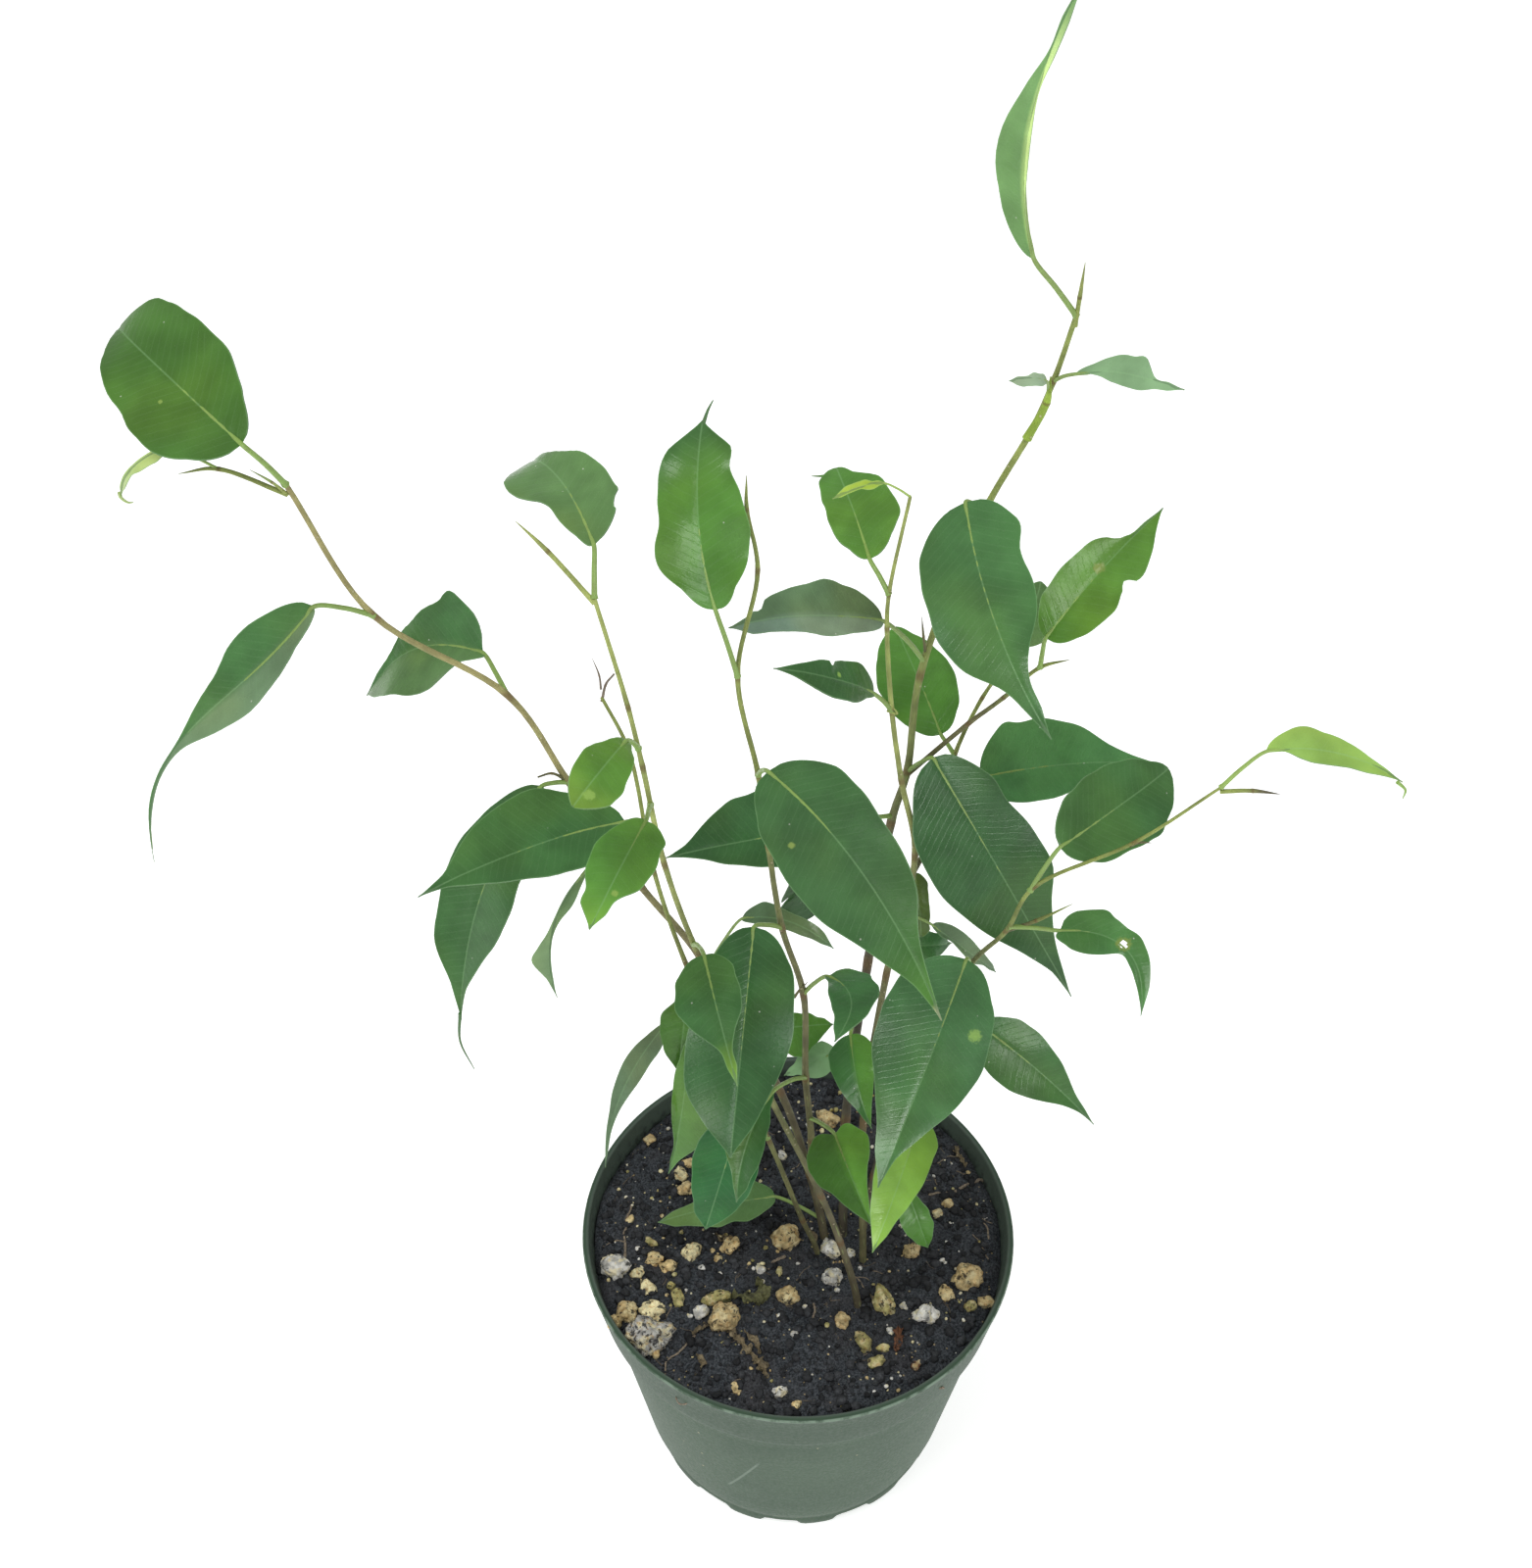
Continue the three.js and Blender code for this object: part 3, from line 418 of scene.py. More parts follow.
# In these lists a row with a route is a stem: its nodes from the soil up, its width and bark at either
# end, whether it is rooted, and whether a spike ends it. The rows after it are its leaves. A leaf
# leaves the stem at a height, and its blade runs from base to tip. turn is its roll away from the
# light, twist how that changes, sweep its bend to one side, greatest at bend_at, arch its bulge, curl
# the drop of its tip, fold the angle of its halves, wave the ripple of its edges, sharp how pointed
# it is, and heart how far its two base lobes reach back. left and right are half widths at the
# eighths of its length. A notch is a place along the blade, a side, a depth and a length. A spot is a
# place along the blade and across it, a size, and how brown it is, and a hole a place and a size.
# hairs are fine ends beyond the tip, shade is a factor on the tones, and a glossy blade shows the
# windows.
SHOOT_LEFT = [
    dict(rooted=True, thick=2.6, thin=1, bark=("old bark", "moss"),
         route=[(7, -2, 78), (3, 3, 98), (-5, 6, 128), (-24, 8, 174), (-37, 8, 197), (-50, 5, 229),
                (-60, 2, 254), (-82, -4, 277), (-92, -8, 307)]),
    dict(height=307, base=(-96, -14, 318), tip=(-124, 14, 327), width=23, sharp=0.55, curl=2,
         left=[8, 11, 11.5, 10.5, 9.5, 8, 5.5], right=[6, 9, 11, 11, 10.5, 9.5, 8], tone="grass",
         shade=0.68, spot=(0.42, -0.35, 0.5, 0.3)),
    # Its left half, the lower one, is painted a paler grey: a painted sheen
    dict(height=277, base=(-91, -10, 283), tip=(-124, -32, 240), width=14, turn=15, sweep=8, bend_at=0.7,
         fold=18, left=[3, 6, 7, 5, 1.5, 0.5, 0.5], right=[6.5, 7, 4, 2, 0.5, 0.5, 0.5], tone="mid",
         left_tone="grey", shade=1.15, glossy=True),
    # Its left half is painted a paler sage: a painted sheen
    dict(height=254, base=(-65, 8, 260), tip=(-93, 18, 242), width=21, turn=20, sweep=5, fold=20,
         heart=(2.5, 2.5), left=[3.5, 9, 11.5, 11, 9.5, 7.5, 4.5], right=[11.5, 9.5, 7.5, 6, 5, 2, 1],
         tone="mid", left_tone="sage", shade=1.1),
    dict(height=229, base=(-55, 0, 232), tip=(-74, -22, 185), width=17, turn=15, sweep=4,
         left=[8, 8, 7, 8, 7, 4, 1], right=[6, 8, 9, 9, 8.5, 7, 2.5], tone="mid", shade=0.9, glossy=True,
         hairs=[[(-74, -22, 187), (-75, -22, 178), (-73, -22, 169)]]),
    dict(height=208, base=(-48, 2, 206), tip=(-55, -10, 179), width=5, twist=20, sweep=4,
         left=[1.5, 2, 1, 0.5, 0.5, 0.5, 0.5], right=[0.5, 0.5, 0.5, 1, 2.5, 4, 1], tone="grey", shade=1.7),
    dict(height=174, base=(-33, 12, 146), tip=(-50, 2, 102), width=6, turn=20, sweep=3,
         left=[3, 3, 3, 2, 1, 0.5, 0.5], right=[2, 3, 3, 2.5, 1.5, 1, 0.5], tone="grey"),
    dict(height=168, base=(-27, 10, 160), tip=(-30, 4, 137), width=12, left=[2, 3.5, 4, 3.5, 3, 2.5, 1],
         right=[3, 5.5, 6, 5.5, 4.5, 3.5, 1.5], tone="grass", shade=0.75),
    dict(height=150, base=(-27, 4, 149), tip=(-33, -6, 110), width=11, sweep=-1,
         left=[3.5, 6, 7.5, 8, 7, 4.5, 1.5], right=[2, 3, 3, 2.5, 1.5, 0.5, 0.5], tone="grass",
         glossy=True),
    dict(height=146, base=(-6, 11, 145), tip=(8, 10, 148), width=10, turn=-15,
         left=[2.5, 3.5, 3.5, 3, 3, 2, 1.5], right=[5, 7, 7.5, 7.5, 5.5, 4, 2], tone="grass", shade=1.1),
    dict(height=168, base=(-14, 10, 184), tip=(7, 4, 180), width=6, sweep=-3, curl=2,
         left=[3.5, 3.5, 2.5, 2, 2, 2, 1.5], right=[1.5, 2, 2, 2, 2, 1.5, 1], tone="grey"),
    dict(height=84, base=(-6, 4, 87), tip=(-37, -2, 84), width=11, turn=35,
         left=[4, 5.5, 5, 6, 5, 3.5, 2.5], right=[4.5, 6, 5.5, 4.5, 3, 2, 1.5], tone="sage", shade=1.02),
    dict(thick=1, thin=0.6, bark=("green bark", "green bark"), spike=True,
         route=[(-92, -8, 305), (-103, -8, 310), (-111, -6, 308)]),
    dict(height=310, base=(-112, -6, 313), tip=(-124, -2, 301), width=3, sweep=1,
         left=[1.5, 1.5, 1.5, 1, 1, 1, 0.5], right=[0.5, 0.5, 0.5, 0.5, 0.5, 0.5, 0.5], tone="pale",
         hairs=[[(-124, -2, 302), (-124, -2, 301), (-123, -2, 300), (-122, -2, 300)]]),
    dict(thick=0.8, thin=0.4, bark=("bark", "bark"), route=[(-50, 5, 229), (-53, 3, 233), (-56, 3, 232)]),
    dict(thick=2, thin=0.7, bark=("bark", "green bark"), spike=True,
         route=[(3, 3, 99), (3, 0, 116), (1, -5, 146), (0, -6, 176), (-5, -8, 199), (-8, -8, 223),
                (-10, -6, 240), (-14, 0, 260), (-10, 4, 282), (-12, 6, 294), (-12, 6, 301)]),
    dict(height=260, base=(-18, -2, 277), tip=(-20, 12, 309), width=19, sweep=-2, wave=1,
         left=[5, 8.5, 8.5, 7.5, 7.5, 7, 5.5], right=[5, 8, 9.5, 9.5, 8, 6, 5.5], tone="grass",
         tip_tone="mid", shade=0.95, hairs=[[(-20, 12, 308), (-19, 12, 311), (-18, 12, 313)]]),
    dict(height=240, base=(-8, -16, 249), tip=(23, -62, 229), width=24, turn=10, sweep=-4,
         left=[9, 10, 9.5, 8.5, 7, 3, 1], right=[8.5, 11.5, 12.5, 12, 9, 5.5, 2], tone="mid",
         tip_tone="grass", end_tone="straw", shade=0.82, glossy=True, spot=(0.27, 0.6, 0.7, 0.4)),
    dict(height=199, base=(-11, -14, 205), tip=(-16, -44, 166), width=22, fold=3,
         left=[8, 10, 10.5, 10, 8, 6, 3.5], right=[7.5, 9.5, 11, 11.5, 11.5, 10, 5.5], tone="dark",
         shade=1.1),
    dict(height=176, base=(5, -10, 186), tip=(6, -30, 187), width=11, sweep=-4.5, heart=(3, 0),
         left=[6.5, 6.5, 6.5, 6, 5, 4, 2], right=[2, 3.5, 4.5, 4.5, 4, 3, 2], tone="dark", shade=1.55),
    dict(height=146, base=(-7, -22, 161), tip=(-15, -40, 145), width=9, sweep=2,
         left=[1.5, 3, 3.5, 4, 4, 3, 2], right=[4, 4.5, 5, 5, 4, 2, 1], tone="leaf green", left_tone="mid"),
    dict(height=126, base=(8, -11.5, 133), tip=(16, -34, 128), width=15, heart=(3, 3),
         left=[6.5, 7, 6, 4.5, 3, 2, 1], right=[7.5, 8.5, 8.5, 7.5, 5.5, 4, 2], tone="leaf green",
         left_tone="fresh", shade=1.25),
    dict(thick=0.8, thin=0.4, bark=("bark", "bark"), spike=True,
         route=[(-2, -7, 176), (-1, -7, 178), (1, -7, 181)]),
    dict(thick=0.7, thin=0.4, bark=("young bark", "pale"), spike=True,
         route=[(-92, -8, 305), (-94, -9, 308), (-97, -10, 311)]),
]
SHOOT_FRONT = [
    dict(rooted=True, thick=2.2, thin=0.8, bark=("old bark", "young bark"),
         route=[(15, -22, 78), (10, -19, 100), (5, -17, 116), (-8, -14, 151), (-23, -14, 197),
                (-29, -16, 225), (-32, -18, 252), (-34, -18, 266), (-39, -15, 288)]),
    dict(height=288, base=(-39, -10, 296), tip=(-53.5, 18, 299), width=16, sharp=0.3, sweep=2, curl=2,
         left=[2.5, 4, 4.5, 6.5, 8.5, 8.5, 7], right=[7.5, 8, 8, 7.5, 6, 4, 2.5], tone="sage", shade=1.1,
         notches=[(0.14, 1, 0.16, 0.04)]),
    dict(height=257, base=(-34, -24, 263), tip=(-42, -44, 264), width=10, sharp=0.6,
         left=[2, 3.5, 4.5, 5, 5.5, 5.5, 4.5], right=[2, 3, 4, 4.5, 4.5, 4, 3], tone="fresh",
         tip_tone="lime", shade=0.82, spot=(0.85, -0.2, 1.2, 0.1)),
    dict(height=241, base=(-31, -28, 247), tip=(-40, -52, 242), width=12,
         left=[5, 5.5, 6, 5.5, 4.5, 2, 1.5], right=[3.5, 5, 6, 6, 5.5, 4, 3.5], tone="grass",
         tip_tone="fresh", shade=1.15, spot=(0.7, -0.2, 0.7, 0.2)),
    dict(height=199, base=(-21, -28, 211), tip=(-14, -52, 199), width=14,
         left=[5, 5.5, 5.5, 4.5, 2.5, 1, 1], right=[6, 7.5, 8, 6.5, 4, 1.5, 1], tone="mid",
         tip_tone="lime"),
    dict(thick=1.1, thin=0.7, bark=("young bark", "young bark"), spike=True,
         route=[(-39, -15, 287), (-47, -12, 296), (-52, -12, 302)]),
]
SHOOT_THIN = [
    dict(rooted=True, thick=1.8, thin=0.7, bark=("bark", "green bark"),
         route=[(5, -7, 78), (1, -7, 92), (-8, -12, 132), (-26, -10, 190), (-32, -8, 216), (-36, -4, 245),
                (-41, 0, 255)]),
    dict(height=228, base=(-37, -10, 231), tip=(-76, -30, 229), width=19, turn=25, sweep=1,
         left=[5, 8, 8, 7.5, 6, 3.5, 1], right=[7, 10, 11.5, 10.5, 9, 5.5, 1.5], tone="mid"),
    dict(height=132, base=(-14, -16, 147), tip=(-23, -26, 115), width=15,
         left=[4.5, 6.5, 7.5, 7.5, 7, 5.5, 3], right=[5.5, 7.5, 8, 7.5, 6.5, 5, 3.5], tone="teal"),
    dict(thick=0.7, thin=0.4, bark=("root", "root"), route=[(-41, 0, 254), (-40, 0, 258), (-38, -2, 262)]),
    dict(thick=0.5, thin=0.3, bark=("root", "root"), spike=True,
         route=[(-41, 0, 257), (-41, -1, 261), (-42, -2, 266)]),
]
SHOOT_TALL = [
    dict(rooted=True, thick=2.8, thin=1, bark=("plum bark", "green bark"),
         route=[(12, -1, 78), (12, 8, 114), (16, 14, 166), (20, 20, 205), (23, 22, 218), (25, 28, 240),
                (36, 32, 278), (44, 32, 297), (47, 32, 307), (49, 28, 322)]),
    dict(height=322, base=(39, 22, 335), tip=(40, 8, 385), width=10, turn=-50, sweep=-3.6, bend_at=0.45,
         arch=3, fold=30, left=[4, 5, 5.5, 4.5, 2.5, 0.5, 0.5], right=[1, 1, 1, 1, 0.5, 1.5, 1.5],
         tone="sage", right_tone="pale", tip_tone="sage", shade=1.6),
    dict(height=307, base=(50, 27, 311), tip=(67, 12, 315), width=6, twist=60, sweep=-1, arch=1,
         left=[2, 3, 3.5, 3.5, 3.5, 0.5, 0.5], right=[0.5, 1, 2, 2.5, 2.5, 1.5, 1], tone="grey", shade=1.9),
    dict(height=304, base=(45, 28, 309), tip=(37.5, 26, 310), width=4,
         left=[1, 1.5, 1.5, 1.5, 1.5, 1.5, 1], right=[1, 1, 1, 1, 0.5, 0.5, 0.5], tone="frost", shade=1.3),
    # Its left half, the lower one, is painted a paler frost tone: a painted sheen
    dict(height=243, base=(16, 24, 257), tip=(-16, 14, 262), width=12, turn=20, sweep=1,
         left=[3.5, 4.5, 5, 4, 3.5, 3, 2.5], right=[5.5, 7, 7.5, 6.5, 6, 4.5, 1.5], tone="grey",
         left_tone="frost", shade=1.1, notches=[(0.8, 1, 0.35, 0.02)]),
    dict(height=279, base=(31, 24, 285), tip=(48, -6, 249), width=22, sweep=3,
         left=[9.5, 9, 9.5, 8.5, 4.5, 2, 1.5], right=[10.5, 12, 12, 11.5, 9.5, 4, 1.5], tone="mid",
         shade=1.1, glossy=True),
    dict(height=218, base=(28, 18, 225), tip=(64, 6, 162), width=26, left=[8.5, 9.5, 11, 11, 7, 3.5, 1.5],
         right=[11, 14, 14, 12.5, 9, 4.5, 1], tone="dark"),
    dict(height=207, base=(2, 8, 213), tip=(-30, 0, 212), width=17, turn=15,
         left=[4.5, 7, 7, 6, 4.5, 2.5, 1], right=[8, 10, 10, 9.5, 7.5, 4.5, 1.5], tone="dark", shade=1.08),
    dict(height=183, base=(4, 16.5, 180), tip=(-3, 12.5, 195), width=10, arch=0,
         left=[5, 6, 6.5, 6.5, 6, 4.5, 1.5], right=[1.5, 2.5, 3, 3, 2.5, 2, 1], tone="dark", shade=0.8,
         notches=[(0.64, -1, 0.5, 0.03)]),
    dict(height=138, base=(9, 8, 140), tip=(-4, 4, 136), width=9, turn=15,
         left=[3.5, 4, 4.5, 4, 3, 1.5, 1], right=[3.5, 4, 4.5, 4, 3, 1.5, 1], tone="grey", shade=2.6),
    dict(height=155, base=(12, 5, 150), tip=(17, -10, 133), width=11, sweep=1,
         left=[5, 5, 4.5, 4, 3, 2, 1], right=[5.5, 6, 5.5, 4.5, 3.5, 2, 1], tone="grass", right_tone="mid",
         shade=1.25),
    dict(thick=1, thin=0.7, bark=("green bark", "young bark"), spike=True,
         route=[(49, 28, 320), (49, 27, 326), (49, 26, 333)]),
    dict(thick=1.2, thin=0.8, bark=("bark", "green bark"), spike=True,
         route=[(23, 22, 217), (36, 24, 230), (43, 24, 237), (50, 24, 245), (56, 24, 247)]),
    dict(height=245, base=(50, 22, 254), tip=(73, 34, 278), width=13, sweep=-1,
         left=[5.5, 6.5, 6.5, 6, 5, 1, 0.5], right=[5.5, 7, 7.5, 6, 7, 5.5, 2.5], tone="fresh", shade=0.85,
         spot=(0.5, -0.1, 1.3, 0.5), notches=[(0.7, -1, 0.2, 0.02), (0.54, 1, 0.2, 0.03)]),
    dict(thick=0.8, thin=0.4, bark=("bark", "bark"), spike=True,
         route=[(26, 29, 245), (25, 27, 251), (24, 24, 258)]),
    dict(thick=2, thin=1, bark=("bright", "bright"), spike=True,
         route=[(43, 31.5, 295), (46, 31, 303), (46, 30, 309)]),
]
SHOOT_RIGHT = [
    dict(rooted=True, thick=2.3, thin=0.7, bark=("bark", "young bark"),
         route=[(17, -9, 78), (16, 2, 121), (20, 8, 168), (25, 12, 202), (21, 14, 222), (18, 14, 241),
                (16, 14, 262), (16, 14, 270), (19, 14, 292)]),
    dict(height=292, base=(14, 14, 295), tip=(4, 8, 295), width=2, sweep=0.5, arch=1,
         left=[0.5, 1, 1, 0.5, 0.5, 0.5, 0.5], right=[0.5, 0.5, 1, 1, 1, 1, 0.5], tone="bright"),
    dict(height=270, base=(12, 16, 277), tip=(6, 40, 284), width=15, sharp=0.5,
         left=[3.5, 5, 5.5, 5.5, 5.5, 5, 4], right=[5.5, 8, 9, 8.5, 8, 6, 2.5], tone="grass",
         hairs=[[(6, 39, 283), (3, 40, 282), (1, 40, 282)]]),
    dict(height=241, base=(14, 12, 247), tip=(-7, 0, 262), width=9, turn=25, left=[2, 4, 5, 5, 4, 2.5, 1],
         right=[4.5, 5, 4.5, 3.5, 3, 2, 1], tone="mid", shade=0.85, spot=(0.42, 0.25, 0.6, 0),
         notches=[(0.5, 1, 0.3, 0.02)]),
    dict(height=185, base=(30, 10, 182), tip=(47, 14, 162), width=5, left=[2.5, 3, 3, 2.5, 2, 1.5, 1],
         right=[1, 0.5, 1, 1.5, 1.5, 0.5, 0.5], tone="grey"),
    dict(height=168, base=(25, 16, 169), tip=(37, 22, 164), width=7,
         left=[2.5, 3.5, 3.5, 3, 2.5, 1.5, 0.5], right=[2.5, 3.5, 3.5, 3, 2.5, 1.5, 0.5], tone="dark",
         shade=1.3),
    dict(thick=1.4, thin=0.8, bark=("bark", "green bark"),
         route=[(25, 12, 197), (30, 22, 199), (35, 34, 213), (41, 40, 225), (47, 42, 235)]),
    dict(height=213, base=(32, 38, 216), tip=(22, 60, 231), width=18, sharp=0.6,
         left=[6, 8.5, 9, 9.5, 9, 7.5, 5.5], right=[5.5, 7.5, 8, 8, 7, 5.5, 3], tone="grass"),
    dict(height=235, base=(49, 42, 238), tip=(53, 50, 250), width=10, sharp=0.6,
         left=[4, 5, 5, 5, 4.5, 3.5, 2.5], right=[4, 5, 5, 5, 4.5, 3.5, 2.5], tone="sage"),
    dict(height=206, base=(41, 32, 208), tip=(80, 26, 217), width=19, turn=-15, sweep=-1,
         left=[10.5, 11, 11, 10, 8, 4, 1.5], right=[6.5, 8, 8, 7, 5.5, 3.5, 1.5], tone="dark", shade=1.9),
    dict(height=199, base=(26, 18, 191), tip=(28, 12, 176), width=5, sharp=0.5,
         left=[2.5, 2.5, 2.5, 2.5, 2.5, 2, 2], right=[1.5, 2, 2.5, 2.5, 2.5, 2, 1.5], tone="olive"),
    dict(thick=1.9, thin=0.6, bark=("plum bark", "green bark"),
         route=[(17, -6.4, 88), (19, -2, 104), (26, 4, 135), (38, 0, 179), (44, -6, 196), (48, -10, 213),
                (66, -14, 229), (80, -16, 245)]),
    dict(height=245, base=(87, -16, 254), tip=(111, -24, 253), width=7, turn=-20, sweep=-2,
         left=[4, 4.5, 3.5, 3, 2, 1, 0.5], right=[0.5, 2, 3, 3, 2.5, 2, 1], tone="young", shade=0.93,
         hairs=[[(110, -24, 253), (112, -24, 251), (112, -24, 249)]]),
    dict(height=211, base=(52, -10, 224), tip=(78, 12, 227), width=18, sharp=0.6,
         left=[7, 9, 9.5, 9, 8, 6.5, 4], right=[6.5, 8.5, 9, 9.5, 9.5, 8, 5.5], tone="mid", shade=0.93),
    dict(height=197, base=(55, -8, 198), tip=(72, -22, 186), width=10, sweep=-7.5, heart=(3, 0),
         left=[6.5, 5, 4, 4, 3.5, 3, 2], right=[4.5, 6, 4.5, 1.5, 1.5, 1.5, 1], tone="mid", shade=1.3,
         spot=(0.45, -0.1, 1.7, 0.45), hole=(0.45, -0.1, 0.9)),
    dict(height=180, base=(36, -6, 187), tip=(16, -42, 153), width=25, fold=4,
         left=[8.5, 11, 11.5, 10.5, 8, 4.5, 1], right=[11.5, 13.5, 13.5, 12, 9, 6, 3.5], tone="dark",
         shade=1.5, glossy=True, spot=(0.28, -0.6, 1.5, 0)),
    dict(height=157, base=(42, 2, 157), tip=(71, -8, 132), width=15, sweep=-1,
         left=[6, 7, 6.5, 5.5, 4, 2, 1], right=[6, 8, 8, 7, 4.5, 2, 0.5], tone="mid"),
    dict(height=128, base=(28, -14, 142), tip=(16, -40, 126), width=12,
         left=[5.5, 5.5, 5.5, 5, 4, 2.5, 1.5], right=[4.5, 6.5, 7, 6.5, 5.5, 4, 2], tone="lime", shade=1.2),
    dict(height=104, base=(27, -6, 105), tip=(33, -14, 90), width=8,
         left=[1.5, 2.5, 3.5, 3.5, 3.5, 2.5, 1.5], right=[3, 4, 4.5, 4.5, 4, 3, 2], tone="grass",
         shade=1.02),
    dict(thick=1, thin=0.7, bark=("green bark", "old bark"), spike=True,
         route=[(80, -16, 244), (86, -17, 245), (91, -18, 245)]),
    dict(thick=1, thin=0.7, bark=("bark", "green bark"), spike=True,
         route=[(44, -6, 196), (50, -7, 200), (57, -8, 206)]),
    dict(thick=0.8, thin=0.4, bark=("bark", "bark"), spike=True,
         route=[(65, -14, 228), (67, -13, 228), (70, -12, 227)]),
    dict(thick=0.6, thin=0.4, bark=("young bark", "young bark"), spike=True,
         route=[(17, 14, 241), (19, 13, 241), (18, 13, 243)]),
]
SHOOTS = {
    "shoot_left": SHOOT_LEFT,
    "shoot_front": SHOOT_FRONT,
    "shoot_thin": SHOOT_THIN,
    "shoot_tall": SHOOT_TALL,
    "shoot_right": SHOOT_RIGHT,
}

# Perlite and other pebbles: place, greatest width and tone
PEBBLES = [
    (-38, -32, 10, "white"), (-48, -12, 7, "white"), (-18, -5, 5, "tan"), (-3, -3, 7.4, "tan"),
    (22, -22, 8, "moss"), (44, -15, 7, "tan"), (-44, -24, 5.6, "tan"), (9, 37, 5.6, "tan"),
    (-37, -25, 5.6, "cream"), (-19, -27, 7.6, "tan"), (32, -26, 5.4, "white"), (16, -33, 6, "moss"),
    (19, -39, 4.4, "moss"), (-28, -7, 5.2, "cream"), (-30, 13, 4.6, "tan"), (-41, 30, 3.3, "tan"),
    (-32, 18, 4.1, "cream"), (-30, 22, 3.3, "tan"), (-4, 25, 2.8, "white"), (-21, -9, 2.3, "tan"),
    (-34, -11, 4.1, "tan"), (-38, -9, 4.7, "tan"), (-39, -4, 3.4, "moss"), (-42, -13, 3.1, "cream"),
    (-39, -17, 4.4, "cream"), (-31, -21, 5.1, "moss"), (-47, -27, 3.5, "tan"), (-21, -21, 6.1, "moss"),
    (-25, -25, 3.8, "white"), (-10, -12, 2.6, "white"), (-5, -13, 3.1, "moss"), (-3, -20, 5.1, "tan"),
    (9, -14, 5.1, "white"), (9, -6, 5.2, "white"), (14, -7, 2.6, "white"), (38, -20, 4.1, "tan"),
    (48, -22, 3.6, "tan"), (44, -23, 3, "moss"), (38, 6, 2.9, "cream"), (41, 9, 3.2, "tan"),
    (11, -27, 4, "tan"), (21, -35, 3.2, "moss"), (30, -6, 4.2, "tan"), (-1, -31, 2.2, "white"),
    (-5, -47, 3.2, "white"), (-16, -45, 2.7, "tan"), (-1, -50, 2.2, "tan"), (29, -39, 3.2, "chip"),
    (-31, 6, 2.4, "tan"), (-45, 3, 2.6, "tan"), (-25, -12, 2, "white"), (18, 5, 2, "white"),
    (-36, -36, 2.6, "tan"), (27, -23, 2.2, "white"), (-33, -17, 2.4, "moss"), (23, -30, 2, "white"),
]

# Roots that lie on the soil, as places on it, and their thickness
ROOTS = [
    ([(36, 12), (40, 12), (43, 13), (48, 16), (52, 17)], 0.9),
    ([(-45, 8), (-46, 2), (-46, -4), (-45, -10)], 0.7),
    ([(-33, -42), (-33, -38), (-30, -35), (-28, -33), (-26, -31)], 0.6),
    ([(-8, -12), (-6, -10), (-3, -8)], 0.9),
    ([(47, -1), (49, -5), (50, -9)], 0.4), ([(50, 3), (51, 0), (51, -3)], 0.5),
    ([(14, -13), (17, -17), (20, -23)], 0.4), ([(-27, 5), (-22, 6), (-19, 5)], 0.4),
    ([(-31, -45), (-29, -48), (-26, -47)], 0.4), ([(46, 23), (43, 24), (39, 22)], 0.4),
    ([(4, -21), (4, -25), (2, -29)], 0.7), ([(29, -45), (33, -44), (36, -43)], 0.6),
    ([(-52, -5), (-49, -3), (-46, -4)], 0.4),
]

# Dead, crumpled leaf pieces on the soil: a line of places, the width and the tone
DEBRIS = [
    ([(-27, -31), (-24, -29), (-20, -29.5), (-17, -31)], 2.6, "dry"),
    ([(-18, -30), (-15, -33), (-12.5, -36), (-10, -39), (-8, -43)], 3.2, "dry"),
    ([(-14, -31), (-11, -33), (-10, -36)], 2, "dry"),
    ([(-20, -22), (-17, -20.5), (-13, -21), (-9, -22)], 3.6, "algae"),
    ([(-11, -15), (-9.5, -18), (-9, -21), (-11, -23)], 3.4, "algae"),
    ([(-26, -37), (-24, -39), (-26, -42)], 2.2, "dry"),
    ([(-22, -1), (-19, -3), (-16, -2)], 2.4, "dry"), ([(25, -29), (25, -33), (24, -36)], 2.6, "chip"),
    ([(2, 0), (4, -2), (5, -4)], 2, "dry"), ([(44, 27), (45, 24), (47, 21)], 2, "dry"),
]


